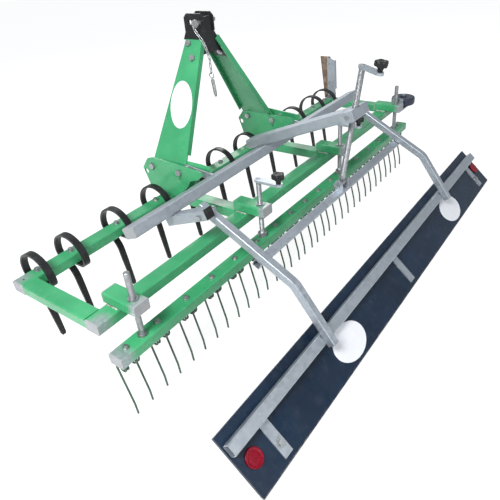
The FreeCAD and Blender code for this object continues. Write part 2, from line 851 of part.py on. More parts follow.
link_pitch = chain_link_length - 4 * chain_wire_radius - free_gap
chain_corners = [vec(x, y, link_z - drop) for x, y, drop in chain_route]
eye_wire = eye_centre - z_axis * chain_eye_radius
first_along = unit(chain_corners[0] - eye_wire)
first_middle = eye_wire + first_along * ((chain_link_length - chain_link_width) / 2 + free_gap)
chain_corners.insert(0, first_middle - first_along * (link_pitch / 2))


def along_chain(run):
    """Place at a run down the chain, which hangs straight below its last corner."""
    for a, b in zip(chain_corners, chain_corners[1:]):
        if run <= (b - a).Length:
            return a + unit(b - a) * run
        run = run - (b - a).Length
    return chain_corners[-1] - z_axis * run


chain = []
for i in range(chain_links):
    low = along_chain(link_pitch * (i + 1))
    high = along_chain(link_pitch * i)
    along = unit(low - high)
    side = unit(along.cross(x_axis))
    if i % 2:
        side = along.cross(side)
    chain.append(chain_link((low + high) * 0.5, along, side))
parts["tether_chain"] = chain
ring_drop = linch_ring_radius - linch_ring_wire - free_gap
ring_centre = along_chain(link_pitch * chain_links) - z_axis * ring_drop
ring_axis = y_axis if chain_links % 2 else x_axis
linch_ring = Part.makeTorus(linch_ring_radius, linch_ring_wire, ring_centre, ring_axis)
linch_down = vec(0, -math.sin(rad(linch_lean)), -math.cos(rad(linch_lean)))
linch_neck_start = ring_centre + linch_down * (linch_ring_radius - linch_ring_wire)
linch_head = ring_centre + linch_down * (linch_ring_radius + linch_neck_length)
linch_shoulder = linch_head + linch_down * (linch_length - linch_tip_length)
linch_neck = rod(linch_neck_radius, linch_neck_start, linch_down, (linch_head - linch_neck_start).Length)
linch_body = rod(linch_radius, linch_head, linch_down, linch_length - linch_tip_length)
linch_point = cone(linch_radius, linch_neck_radius, linch_shoulder, linch_down, linch_tip_length)
parts["linch_pin"] = [linch_ring.fuse([linch_neck, linch_body, linch_point]).removeSplitter()]

# Upper cross bar, tilted, with its end caps
tilt_along, tilt_up = slanted(upper_tilt)
cross_bar_centre = vec(0, cross_bar_y, frame_top + cross_bar_height)


def tilted(x, run, rise):
    """Place in the tilted group: run forward along it and rise above the cross bar's middle."""
    return cross_bar_centre + x_axis * x + tilt_along * run + tilt_up * rise


cross_bar_end = cross_bar_half - cap_thickness
cross_bar = hollow_bar(tilted(-cross_bar_end, 0, 0), tilt_along, tilt_up, bar_width, bar_height, bar_wall,
                       bar_corner, x_axis * (2 * cross_bar_end))
slot = filled_bar(tilted(slot_x, 0, 0), x_axis, tilt_along, slot_width, slot_length,
                  slot_width / 2 - free_gap, tilt_up * bar_height)
cross_bar = cross_bar.cut(slot)
parts["cross_bar"] = [cross_bar]
cross_cap = filled_bar(tilted(cross_bar_end, 0, 0), tilt_along, tilt_up, bar_width, bar_height, bar_corner,
                       x_axis * cap_thickness)
parts["cross_bar_caps"] = both_sides(cross_cap)

# Lugs that carry the cross bar between the hitch plates
lug_points = [
    tilted(0, bar_width / 2, lug_foot_height),
    vec(0, hitch_rear_bolt.y, hitch_rear_bolt.z + lug_height / 2),
    vec(0, hitch_rear_bolt.y + lug_height / 2, hitch_rear_bolt.z + lug_height / 4),
    vec(0, hitch_rear_bolt.y + lug_height / 2, hitch_rear_bolt.z - lug_height / 4),
    vec(0, hitch_rear_bolt.y, hitch_rear_bolt.z - lug_height / 2),
    tilted(0, bar_width / 2, -lug_foot_height),
]
lug = prism([p + x_axis * upright_base_x for p in lug_points], x_axis * lug_thickness)
lug = drill(lug, hitch_bolt_radius + free_gap,
            vec(upright_base_x - overrun, hitch_rear_bolt.y, hitch_rear_bolt.z), x_axis,
            lug_thickness + 2 * overrun)
parts["cross_bar_lugs"] = both_sides(lug)

# The board arms' pivot and the line of the lifting screw
pivot_rise = -bar_height / 2 - pivot_tube_size / 2
pivot_rear_run = (cross_bar_y + tilt_up.y * pivot_rise - pivot_tube_rear_y) / tilt_along.y
pivot_point = tilted(0, pivot_inset - pivot_rear_run, pivot_rise - pivot_drop)
arm_along = vec(0, -math.cos(rad(arm_slope)), -math.sin(rad(arm_slope)))
arm_up = vec(0, -math.sin(rad(arm_slope)), math.cos(rad(arm_slope)))
arm_reference = pivot_point - arm_up * arm_drop
cross_mid = arm_reference + arm_along * cross_tube_run - arm_up * arm_size
boom_mid = bar_height / 2 + boom_height / 2
head_mid_run = -boom_rear_run - head_length / 2
screw_point = tilted(0, head_mid_run, boom_mid)
swivel_point = cross_mid + arm_up * (arm_size / 2 + swivel_rise) - arm_along * swivel_ahead
screw_up = unit(screw_point - swivel_point)
screw_out = vec(0, -screw_up.z, screw_up.y)

# Boom and the nut housing at its rear end
boom = hollow_bar(tilted(0, -boom_rear_run, boom_mid), x_axis, tilt_up, boom_width, boom_height, bar_wall,
                  bar_corner, tilt_along * (boom_rear_run + boom_front_run))
parts["boom"] = [boom]
head = filled_bar(tilted(-head_half, head_mid_run, boom_mid), tilt_along, tilt_up, head_length, boom_height,
                  head_corner, x_axis * (2 * head_half))
head_hollow = filled_bar(tilted(head_wall - head_half, head_mid_run, boom_mid), tilt_along, tilt_up,
                         head_length - 2 * head_wall, boom_height - 2 * head_wall, head_corner - head_wall,
                         x_axis * (2 * head_half - 2 * head_wall))
head = head.cut(head_hollow)
head = drill(head, head_screw_hole_radius, screw_point - screw_up * boom_height, screw_up, 2 * boom_height)
head = drill(head, trunnion_pin_radius + running_gap, screw_point - x_axis * (head_half + overrun), x_axis,
             2 * head_half + 2 * overrun)
parts["boom_head"] = [head]

# Nut block that swings on its two pins in the housing
nut_block_half = head_half - head_wall - nut_block_gap
nut_block = filled_bar(screw_point - x_axis * nut_block_half, tilt_along, tilt_up, nut_block_length,
                       nut_block_height, nut_block_corner, x_axis * (2 * nut_block_half))
nut_pins = rod(trunnion_pin_radius, screw_point - x_axis * head_half, x_axis, 2 * head_half)
nut_block = nut_block.fuse(nut_pins).removeSplitter()
nut_block = drill(nut_block, screw_radius + running_gap, screw_point - screw_up * boom_height, screw_up,
                  2 * boom_height)
parts["trunnion_nut"] = [nut_block]

# Pivot tubes under the cross bar, with plugs in their rear ends
pivot_tubes = []
plugs = []
for x in (left_pivot_tube_x, right_pivot_tube_x):
    tube = hollow_bar(tilted(x, -pivot_rear_run, pivot_rise), x_axis, tilt_up, pivot_tube_size,
                      pivot_tube_size, pivot_tube_wall, pivot_tube_corner,
                      tilt_along * (pivot_rear_run + pivot_tube_front_run))
    pivot = pivot_point + x_axis * x
    tube = drill(tube, pivot_bolt_radius + free_gap, pivot - x_axis * pivot_tube_size, x_axis,
                 2 * pivot_tube_size)
    pivot_tubes.append(tube)
    inner = pivot_tube_size - 2 * pivot_tube_wall - 2 * free_gap
    plug = filled_bar(tilted(x, -pivot_rear_run, pivot_rise), x_axis, tilt_up, inner, inner,
                      pivot_tube_corner - pivot_tube_wall, tilt_along * plug_depth)
    outer = pivot_tube_size - pivot_tube_wall
    flange = filled_bar(tilted(x, -pivot_rear_run, pivot_rise), x_axis, tilt_up, outer, outer,
                        pivot_tube_corner - pivot_tube_wall, tilt_along * -pivot_tube_wall)
    plugs.append(plug.fuse(flange).removeSplitter())
parts["pivot_tubes"] = pivot_tubes
parts["pivot_tube_plugs"] = plugs

# Board arms: bent tubes on the pivot bolts
arm_start = arm_reference - arm_along * arm_front_length

board_down = vec(0, -math.cos(rad(board_slope)), -math.sin(rad(board_slope)))
board_up = vec(0, -math.sin(rad(board_slope)), math.cos(rad(board_slope)))
board_low = vec(0, board_low_y, board_thickness * math.cos(rad(board_slope)))
board_top = board_low - board_down * board_width


def on_board(x, run, rise):
    """Place run down the board from its top edge and rise above its upper face."""
    return board_top + x_axis * x + board_down * run + board_up * rise


def board_block(x0, x1, run0, run1, rise0, rise1):
    points = [on_board(x0, run0, rise0), on_board(x0, run1, rise0), on_board(x0, run1, rise1),
              on_board(x0, run0, rise1)]
    return prism(points, x_axis * (x1 - x0))


bend_point = arm_reference + arm_along * arm_first_length
landing = on_board(0, arm_landing, rail_height)
gap_run = landing - bend_point
reach = gap_run.Length
aim = math.degrees(math.atan2(-gap_run.z, -gap_run.y))
lower_slope = aim + math.degrees(math.asin(arm_size / 2 / reach)) * -1
bend_turn = lower_slope - arm_slope
tangent_run = arm_bend_radius * math.tan(rad(bend_turn / 2))
lower_along = vec(0, -math.cos(rad(lower_slope)), -math.sin(rad(lower_slope)))
toe_run = (on_board(0, arm_toe, rail_height) - bend_point).dot(lower_along)
arm_steps = (
    (arm_front_length + arm_first_length - tangent_run,),
    (arm_bend_radius, bend_turn),
    (toe_run - tangent_run,),
)
arm_path, arm_end, arm_heading = follow(arm_start, 180.0 + arm_slope, arm_steps)
arm_spine = Part.Wire(offset_edges(arm_path, 0))
arm_bore = arm_size - 2 * arm_wall
outer_wire = rounded_wire(arm_start, x_axis, arm_up, arm_size, arm_size, arm_corner)
inner_wire = rounded_wire(arm_start, x_axis, arm_up, arm_bore, arm_bore, arm_corner - arm_wall)
arm_outer = arm_spine.makePipeShell([outer_wire], True, False)
arm_inner = arm_spine.makePipeShell([inner_wire], True, False)
arm = arm_outer.cut(arm_inner)
rail_envelope = board_block(-arm_size, arm_size, rail_start - rail_width, rail_start + rail_width,
                            -rail_height, rail_height)
arm = arm.cut(rail_envelope)
arm = drill(arm, pivot_bolt_radius + running_gap, pivot_point - x_axis * arm_size, x_axis, 2 * arm_size)
arms = []
pivot_bolts = []
for x in (left_pivot_tube_x, right_pivot_tube_x):
    arm_x = x + pivot_tube_size / 2 + side_gap + arm_size / 2
    arms.append(moved(arm, x_axis * arm_x))
    seat = vec(x - pivot_tube_size / 2, pivot_point.y, pivot_point.z)
    grip = pivot_tube_size + side_gap + arm_size + free_gap
    pivot_bolts = pivot_bolts + bolt_and_nut(pivot_bolt_radius, pivot_bolt_across, pivot_bolt_head, seat,
                                             x_axis, grip, washer_thickness)
parts["board_arms"] = arms
parts["pivot_bolts"] = pivot_bolts

# Cross tube under the arms, its ends flush with the left arm's outer side
cross_tube_half = -left_pivot_tube_x - pivot_tube_size / 2 - side_gap
cross_tube = hollow_bar(cross_mid - x_axis * cross_tube_half, arm_along, arm_up, arm_size, arm_size, arm_wall,
                        arm_corner, x_axis * (2 * cross_tube_half))
parts["cross_tube"] = [cross_tube]

# Plates on the cross tube that hold the screw's swivel block
seat_mid = cross_mid + arm_up * (arm_size / 2)
swivel_inner = swivel_half + swivel_side_gap
swivel_outline = []
for along, up in swivel_plate_shares:
    corner = seat_mid + arm_along * (along * swivel_plate_length) + arm_up * (up * swivel_plate_height)
    swivel_outline.append(corner + x_axis * swivel_inner)
swivel_side = prism(swivel_outline, x_axis * swivel_plate)
swivel_side = drill(swivel_side, swivel_pin_radius + swivel_pin_gap, swivel_point, x_axis,
                    swivel_inner + swivel_plate + overrun)
parts["swivel_plates"] = both_sides(swivel_side)
swivel_reach = swivel_inner + swivel_plate
swivel = rod(swivel_radius, swivel_point - x_axis * swivel_half, x_axis, 2 * swivel_half)
swivel = swivel.fuse(rod(swivel_pin_radius, swivel_point - x_axis * swivel_reach, x_axis, 2 * swivel_reach))
swivel = swivel.removeSplitter()
swivel = drill(swivel, journal_radius + running_gap, swivel_point - screw_up * (2 * swivel_radius), screw_up,
               4 * swivel_radius)
parts["swivel_block"] = [swivel]

# Lifting screw: turns in the swivel block and climbs through the nut block
shoulder = swivel_point + screw_up * (swivel_radius + free_gap)
screw_top = screw_point + screw_up * screw_top_length
screw = rod(screw_radius, shoulder, screw_up, (screw_top - shoulder).Length)
journal_end = swivel_point - screw_up * (swivel_radius + free_gap)
nut_low = journal_end - screw_up * end_nut_height
screw = screw.fuse([rod(journal_radius, journal_end, screw_up, (shoulder - journal_end).Length),
                    rod(journal_end_radius, nut_low, screw_up, end_nut_height),
                    rod(spigot_radius, screw_top, screw_up, crank_arm_thickness + spigot_over)])
screw = screw.removeSplitter()
end_nut = hexagon(end_nut_across, nut_low, screw_up, end_nut_height)
end_nut = drill(end_nut, journal_end_radius + running_gap, nut_low - screw_up * end_nut_height, screw_up,
                3 * end_nut_height)
parts["lift_screw"] = [screw, end_nut]


def crank_arm(centre, axis, out, throw):
    """Flat bar on the end of a screw, with a pin for the knob at its outer end."""
    side = axis.cross(out) * (crank_arm_width / 2)
    far = centre + out * throw
    bar = prism([centre - side, centre + side, far + side, far - side], axis * crank_arm_thickness)
    bar = bar.fuse([rod(crank_arm_width / 2, centre, axis, crank_arm_thickness),
                    rod(crank_arm_width / 2, far, axis, crank_arm_thickness),
                    rod(knob_pin_radius, far, axis, crank_arm_thickness + knob_pin_length)]).removeSplitter()
    return drill(bar, spigot_radius + running_gap, centre - axis * overrun, axis,
                 crank_arm_thickness + 2 * overrun)


def star_knob(centre, axis, out):
    """Five-lobed knob on a tapered hub, bored blind for the pin; centre is on the arm's far face."""
    side = axis.cross(out)
    hub = cone(knob_hub_low_radius, knob_hub_high_radius, centre, axis, knob_hub_height)
    star = centre + axis * knob_hub_height
    lobes = []
    for i in range(knob_lobes):
        a = 2 * math.pi * i / knob_lobes
        place = star + (out * math.cos(a) + side * math.sin(a)) * knob_lobe_reach
        lobes.append(rod(knob_lobe_radius, place, axis, knob_star_height))
    knob = hub.fuse([rod(knob_core_radius, star, axis, knob_star_height)] + lobes).removeSplitter()
    return drill(knob, knob_pin_radius + running_gap, centre - axis * overrun, axis,
                 knob_pin_length + overrun)


def knob_seat(centre, axis, out, throw):
    return centre + out * throw + axis * (crank_arm_thickness + free_gap)


lift_out = screw_out * math.cos(rad(lift_crank_rest)) - x_axis * math.sin(rad(lift_crank_rest))
parts["lift_crank_arm"] = [crank_arm(screw_top, screw_up, lift_out, lift_crank_radius)]
parts["lift_crank_knob"] = [star_knob(knob_seat(screw_top, screw_up, lift_out, lift_crank_radius), screw_up,
                                      lift_out)]

# Levelling board with its stiffening rail, straps, reflectors and blank ovals
parts["levelling_board"] = [board_block(-machine_half, machine_half, 0, board_width, -board_thickness, 0)]
rail_half = machine_half - rail_end_inset
rail_mid = on_board(-rail_half, rail_start + rail_width / 2, rail_height / 2)
rail_run = x_axis * (2 * rail_half)
parts["arm_rail"] = [hollow_bar(rail_mid, board_down, board_up, rail_width, rail_height, rail_wall, rail_corner,
                                rail_run)]
straps = []
strap_bolts = []
board_drilled = parts["levelling_board"][0]
rail_end = rail_start + rail_width
for x in (strap_left_inset - machine_half, strap_middle_x, machine_half - strap_right_inset):
    strap = board_block(x - strap_width / 2, x + strap_width / 2, rail_end, strap_end, 0, strap_thickness)
    if x != strap_middle_x:
        seat = on_board(x, strap_bolt_run, strap_thickness + washer_thickness)
        hole = rod(strap_bolt_radius + free_gap, seat, board_up * -1, 2 * board_width)
        strap = strap.cut(hole)
        board_drilled = board_drilled.cut(hole)
        grip = washer_thickness + strap_thickness + board_thickness
        strap_bolts = strap_bolts + bolt_and_nut(strap_bolt_radius, strap_bolt_across, strap_bolt_head, seat,
                                                 board_up * -1, grip, washer_thickness)
        strap_bolts.append(ring(strap_washer_radius, strap_bolt_radius + free_gap,
                                on_board(x, strap_bolt_run, strap_thickness), board_up, washer_thickness))
    straps.append(strap)
parts["levelling_board"] = [board_drilled]
parts["board_straps"] = straps
parts["strap_bolts"] = strap_bolts
reflectors = []
for x, run in ((reflector_left_inset - machine_half, reflector_left_run),
               (machine_half - reflector_right_inset, reflector_right_run)):
    reflectors.append(rod(reflector_radius, on_board(x, run, 0), board_up, reflector_thickness))
parts["reflectors"] = reflectors


def oval(centre, u, v, half_length, half_height, normal):
    rim = Part.Ellipse(centre + u * half_length, centre + v * half_height, centre).toShape()
    return Part.Face(Part.Wire([rim])).extrude(normal * oval_thickness)


parts["board_ovals"] = [oval(on_board(x, oval_run, 0), x_axis, board_down, oval_half_length, oval_half_height,
                             board_up) for x in (oval_left_x, oval_right_x)]
left_up = vec(-lean_up.x, 0, lean_up.z)
left_out = vec(-lean_out.x, 0, lean_out.z)
mast_oval_place = on_upright(mast_oval_y, mast_oval_run, 0)
mast_oval_place = vec(-mast_oval_place.x, mast_oval_place.y, mast_oval_place.z)
oval_along = left_up * math.cos(rad(mast_oval_slant)) + y_axis * math.sin(rad(mast_oval_slant))
oval_across = y_axis * math.cos(rad(mast_oval_slant)) - left_up * math.sin(rad(mast_oval_slant))
parts["upright_oval"] = [oval(mast_oval_place, oval_along, oval_across, mast_oval_half_length,
                              mast_oval_half_height, left_out)]

# Harrow bar, hung on the guide rods and crank screws
harrow_top = frame_top - harrow_drop
harrow_low = harrow_top - bar_height
harrow_mid = harrow_top - bar_height / 2
harrow_bar = long_bar(rod_y, harrow_mid)
harrow_half = [harrow_inner_spacing * (i + 1) for i in range(harrow_inner_steps)]
harrow_outer_spacing = (machine_half - harrow_end_inset - harrow_half[-1]) / harrow_outer_steps
for i in range(harrow_outer_steps):
    harrow_half.append(harrow_half[-1] + harrow_outer_spacing)
harrow_places = [-x for x in reversed(harrow_half)] + [0] + harrow_half
for x in harrow_places:
    harrow_bar = drill(harrow_bar, tine_bolt_radius + free_gap, vec(x, rod_y, harrow_low - overrun), z_axis,
                       bar_height + 2 * overrun)
parts["harrow_bar"] = [harrow_bar]
parts["harrow_end_caps"] = bar_caps(rod_y, harrow_mid)
rod_top = frame_top + rod_top_height
guide = rod(rod_radius, vec(guide_rod_x, rod_y, harrow_top), z_axis, rod_top - harrow_top - rod_chamfer)
guide_tip = cone(rod_radius, rod_radius - rod_chamfer, vec(guide_rod_x, rod_y, rod_top - rod_chamfer), z_axis,
                 rod_chamfer)
guide_foot = rod(foot_pad_radius, vec(guide_rod_x, rod_y, harrow_top), z_axis, foot_pad_height)
parts["guide_rods"] = both_sides(guide.fuse([guide_tip, guide_foot]).removeSplitter())

# Feet in which the crank screws turn: a cup with a lid over the screw's disc
disc_low = harrow_top + foot_cup_floor + free_gap
lid_low = disc_low + foot_disc_height + free_gap
cup = rod(foot_cup_radius, vec(crank_x, rod_y, harrow_top), z_axis, lid_low - harrow_top)
cup = drill(cup, foot_disc_radius + free_gap, vec(crank_x, rod_y, harrow_top + foot_cup_floor), z_axis,
            lid_low - harrow_top)
lid = ring(foot_cup_radius, rod_radius + running_gap, vec(crank_x, rod_y, lid_low), z_axis, foot_lid_height)
parts["screw_feet"] = both_sides(cup) + both_sides(lid)
crank_screw = rod(rod_radius, vec(0, rod_y, disc_low), z_axis, rod_top - disc_low)
crank_screw = crank_screw.fuse([
    rod(foot_disc_radius, vec(0, rod_y, disc_low), z_axis, foot_disc_height),
    rod(spigot_radius, vec(0, rod_y, rod_top), z_axis, crank_arm_thickness + spigot_over)]).removeSplitter()
crank_end = vec(0, rod_y, rod_top)
crank_out = y_axis * -1
for side, x in (("left", -crank_x), ("right", crank_x)):
    parts[side + "_crank_screw"] = [moved(crank_screw, x_axis * x)]
    parts[side + "_crank_arm"] = [moved(crank_arm(crank_end, z_axis, crank_out, crank_radius), x_axis * x)]
    knob = star_knob(knob_seat(crank_end, z_axis, crank_out, crank_radius), z_axis, crank_out)
    parts[side + "_crank_knob"] = [moved(knob, x_axis * x)]


# Harrow tines: one wire per tine, coiled twice at each side of its bolt
def arc_from(p, tangent, q):
    chord = q - p
    along = unit(chord)
    bulge = tangent - along * tangent.dot(along)
    if bulge.Length < math.sin(rad(0.05)):
        return Part.makeLine(p, q)
    half_turn = math.atan2(bulge.Length, tangent.dot(along))
    middle = (p + q) * 0.5 + unit(bulge) * (chord.Length / 2 * math.tan(half_turn / 2))
    return Part.Arc(p, middle, q).toShape()


def biarc(p, tangent_p, q, tangent_q):
    """Two arcs that leave p and reach q along the given directions."""
    v = q - p
    both = tangent_p + tangent_q
    square = 2 * tangent_p.dot(tangent_q) - 2
    if abs(square) < math.sin(rad(0.01)):
        length = v.dot(v) / (2 * v.dot(both))
    else:
        linear = -2 * v.dot(both)
        root = math.sqrt(linear * linear - 4 * square * v.dot(v))
        length = (-linear - root) / (2 * square)
    join = (p + tangent_p * length + q - tangent_q * length) * 0.5
    first = arc_from(p, tangent_p, join)
    second_back = arc_from(q, tangent_q * -1, join)
    return [first, second_back]


wire_top = harrow_low - free_gap
coil_z = wire_top - harrow_wire_radius - coil_radius
coil_start = -leg_lean
coil_sweep = 90.0 + leg_lean + 360.0 * coil_whole_turns
coil_pitch = (leg_half_spacing - bridge_half) / coil_sweep
coil_pieces = 4 * coil_whole_turns + 1


def on_coil(angle):
    """Place and heading on the right-hand coil; 0 is its front, 90 its top."""
    x = leg_half_spacing - coil_pitch * (angle - coil_start)
    place = vec(x, coil_y + coil_radius * math.cos(rad(angle)), coil_z + coil_radius * math.sin(rad(angle)))
    turn = rad(1) * coil_radius
    heading = vec(-coil_pitch, -turn * math.sin(rad(angle)), turn * math.cos(rad(angle)))
    return place, unit(heading)


leg_up = vec(0, math.sin(rad(leg_lean)), math.cos(rad(leg_lean)))
coil_first, coil_heading = on_coil(coil_start)
leg_top = coil_first - leg_up * leg_blend
end_lean = leg_lean - leg_kink_angle
kink_z = leg_kink_radius * (math.sin(rad(leg_lean)) - math.sin(rad(end_lean)))
leg_drop = leg_top.z - harrow_tip_height - kink_z - leg_end_length * math.cos(rad(end_lean))
leg_length = leg_drop / math.cos(rad(leg_lean))
leg_foot = leg_top - leg_up * leg_length
kink_centre = leg_foot + vec(0, -math.cos(rad(leg_lean)), math.sin(rad(leg_lean))) * leg_kink_radius * -1
kink_mid_lean = (leg_lean + end_lean) / 2


def off_kink(lean):
    return kink_centre + vec(0, -math.cos(rad(lean)), math.sin(rad(lean))) * leg_kink_radius


end_top = off_kink(end_lean)
end_up = vec(0, math.sin(rad(end_lean)), math.cos(rad(end_lean)))
tip = end_top - end_up * leg_end_length
half_edges = [Part.makeLine(tip, end_top), Part.Arc(end_top, off_kink(kink_mid_lean), leg_foot).toShape(),
              Part.makeLine(leg_foot, leg_top)]
half_edges = half_edges + biarc(leg_top, leg_up, coil_first, coil_heading)
for i in range(coil_pieces):
    a, heading_a = on_coil(coil_start + coil_sweep * i / coil_pieces)
    b, heading_b = on_coil(coil_start + coil_sweep * (i + 1) / coil_pieces)
    if i == coil_pieces - 1:
        heading_b = y_axis * -1
    half_edges = half_edges + biarc(a, heading_a, b, heading_b)
bridge_side = vec(bridge_half, rod_y, wire_top - harrow_wire_radius)
bridge_start = vec(bridge_half, coil_y, bridge_side.z)
half_edges.append(Part.makeLine(bridge_start, bridge_side))
bridge_rear = bridge_side + vec(-bridge_half, -bridge_half, 0)
bridge_middle = bridge_side + vec(bridge_half * (math.cos(rad(45)) - 1), -bridge_half * math.sin(rad(45)), 0)
half_edges.append(Part.Arc(bridge_side, bridge_middle, bridge_rear).toShape())
other_half = [e.mirror(vec(0, 0, 0), x_axis) for e in half_edges]
spine = Part.Wire(Part.__sortEdges__(half_edges + other_half))
profile = Part.Wire(Part.makeCircle(harrow_wire_radius, tip, end_up))
harrow_tine = spine.makePipeShell([profile], True, False)
parts["harrow_tines"] = [moved(harrow_tine, x_axis * x) for x in harrow_places]

# Least distance between one turn of the wire and the next
coil_steps = 160 * coil_whole_turns
half_turn_steps = int(180 * coil_steps / coil_sweep)
coil_points = [on_coil(coil_start + coil_sweep * i / coil_steps)[0] for i in range(coil_steps + 1)]
least = min((a - b).Length for i, a in enumerate(coil_points) for b in coil_points[i + half_turn_steps:])
print("harrow wire: least gap to itself", round(least - 2 * harrow_wire_radius, 2), "mm")

harrow_bolts = []
clamp_top = wire_top - 2 * harrow_wire_radius - free_gap
for x in harrow_places:
    seat = vec(x, rod_y, clamp_top - clamp_washer_thickness)
    grip = harrow_top - seat.z + washer_thickness
    harrow_bolts = harrow_bolts + bolt_and_nut(tine_bolt_radius, tine_bolt_across, tine_bolt_head, seat,
                                               z_axis, grip, washer_thickness)
    harrow_bolts.append(ring(clamp_washer_radius, tine_bolt_radius + free_gap, seat, z_axis,
                             clamp_washer_thickness))
    harrow_bolts.append(ring(washer_radius, tine_bolt_radius + free_gap, vec(x, rod_y, harrow_top), z_axis,
                             washer_thickness))
parts["harrow_bolts"] = harrow_bolts


def stud(radius, start, direction, length):
    """Plain pivot with a thinner end for its nut."""
    thick = rod(radius, start, direction, length)
    thin = rod(stud_end_radius, start + direction * length, direction, stud_nut_height + stud_over)
    nut_seat = start + direction * length
    nut = hexagon(stud_nut_across, nut_seat, direction, stud_nut_height)
    nut = drill(nut, stud_end_radius + running_gap, nut_seat - direction * overrun, direction,
                stud_nut_height + 2 * overrun)
    return thick.fuse(thin), nut


# Spacer wheel, lying flat on an angle bracket beside the right rod holder
wheel_x = machine_half + wheel_out
wheel_flange_end = machine_half + wheel_flange_out
holder_side = guide_rod_x + bar_width / 2
flange_low = frame_top - wheel_bracket_thickness
wheel_plate = block(holder_side, holder_side + wheel_bracket_thickness, wheel_bracket_y - wheel_bracket_half,
                    wheel_bracket_y + wheel_bracket_half, flange_low, frame_top + wheel_bracket_top)
wheel_flange = block(holder_side, wheel_flange_end, wheel_bracket_y - wheel_bracket_half,
                     wheel_bracket_y + wheel_bracket_half, flange_low, frame_top)
wheel_run = 2 * wheel_boss_height + wheel_thickness + 2 * free_gap
axle, axle_nut = stud(wheel_axle_radius, vec(wheel_x, wheel_y, frame_top), z_axis, wheel_run)
parts["wheel_bracket"] = [wheel_plate.fuse([wheel_flange, axle]).removeSplitter(), axle_nut]
wheel_low = frame_top + free_gap
wheel = rod(wheel_radius, vec(wheel_x, wheel_y, wheel_low + wheel_boss_height), z_axis, wheel_thickness)
rims = [e for e in wheel.Edges if len(e.Vertexes) == 1]
wheel = wheel.makeFillet(wheel_edge, rims)
wheel = wheel.fuse(rod(wheel_boss_radius, vec(wheel_x, wheel_y, wheel_low), z_axis,
                       2 * wheel_boss_height + wheel_thickness)).removeSplitter()
wheel = drill(wheel, wheel_axle_radius + running_gap, vec(wheel_x, wheel_y, wheel_low - overrun), z_axis,
              wheel_run + 2 * overrun)
parts["spacer_wheel"] = [wheel]

# Edge blade, folded up beside the front bar's right end
blade_x = machine_half + blade_bracket_thickness
blade_pivot = vec(blade_x, blade_pivot_y, frame_top + blade_pivot_height)
carrier_x = blade_x + free_gap
bracket_plate = block(machine_half, blade_x, blade_pivot_y - blade_bracket_half,
                      blade_pivot_y + blade_bracket_half, bar_low, frame_top + blade_bracket_height)
pivot_stud, pivot_nut = stud(blade_pivot_radius, blade_pivot, x_axis, blade_carrier_thickness + 2 * free_gap)
parts["blade_bracket"] = [bracket_plate.fuse(pivot_stud).removeSplitter(), pivot_nut]


def blade_place(x, y, z):
    return vec(x, y, frame_top + z)


carrier = prism([blade_place(carrier_x, blade_rear_low_y, blade_low),
                 blade_place(carrier_x, blade_joint_low_y, blade_low),
                 blade_place(carrier_x, blade_joint_high_y, blade_high),
                 blade_place(carrier_x, blade_rear_high_y, blade_rear_high)],
                x_axis * blade_carrier_thickness)
blade_face = carrier_x + blade_carrier_thickness
flange_share = (blade_rear_high_y - blade_rear_low_y) / (blade_rear_high - blade_low)
flange_foot = blade_bracket_height + stud_nut_across
flange_foot_y = blade_rear_low_y + flange_share * (flange_foot - blade_low)
carrier_flange = prism([blade_place(carrier_x, flange_foot_y, flange_foot),
                        blade_place(carrier_x, flange_foot_y + blade_carrier_thickness, flange_foot),
                        blade_place(carrier_x, blade_rear_high_y + blade_carrier_thickness, blade_rear_high),
                        blade_place(carrier_x, blade_rear_high_y, blade_rear_high)],
                       x_axis * (blade_carrier_thickness + blade_flange))
carrier = carrier.fuse(carrier_flange).removeSplitter()
carrier = drill(carrier, blade_pivot_radius + running_gap, blade_pivot - x_axis * overrun, x_axis,
                blade_carrier_thickness + 2 * overrun + free_gap)
blade = prism([blade_place(blade_face, blade_joint_low_y - blade_lap, blade_low),
               blade_place(blade_face, blade_front_low_y, blade_low),
               blade_place(blade_face, blade_front_high_y, blade_high),
               blade_place(blade_face, blade_joint_high_y - blade_lap, blade_high)], x_axis * blade_thickness)
blade_bolts = []
for share in blade_bolt_shares:
    y = blade_joint_low_y + (blade_joint_high_y - blade_joint_low_y) * share - blade_lap / 2
    z = blade_low + (blade_high - blade_low) * share
    seat = blade_place(blade_face + blade_thickness, y, z)
    bolt = bolt_and_nut(blade_bolt_radius, blade_bolt_across, blade_bolt_head, seat, x_axis * -1,
                        blade_thickness + blade_carrier_thickness, free_gap)
    hole = rod(blade_bolt_radius + free_gap, seat + x_axis * overrun, x_axis * -1, 4 * blade_thickness)
    blade = blade.cut(hole)
    carrier = carrier.cut(hole)
    blade_bolts = blade_bolts + bolt
parts["blade_carrier"] = [carrier]
parts["edge_blade"] = [blade]
parts["blade_bolts"] = blade_bolts

# Move everything over the middle of its footprint and write one file per piece
low_x = -machine_half
high_x = wheel_x + wheel_radius
low_y = board_low_y
high_y = hitch_plate_rear_y + hitch_plate_length
centre_move = vec(-(low_x + high_x) / 2, -(low_y + high_y) / 2, 0)

os.makedirs("parts", exist_ok=True)
for name in parts:
    solids = []
    for shape in parts[name]:
        placed = moved(shape, centre_move)
        if not placed.isValid() or len(placed.Solids) != 1:
            print("check", name, placed.isValid(), len(placed.Solids))
        solids = solids + placed.Solids
    written = solids[0] if len(solids) == 1 else Part.makeCompound(solids)
    written.exportStep("parts/" + name + ".step")
print("origin moved by", round(centre_move.x, 2), round(centre_move.y, 2))
print(len(parts), "nodes written")
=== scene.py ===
import math
import bmesh
import bpy
from mathutils import Matrix, Vector


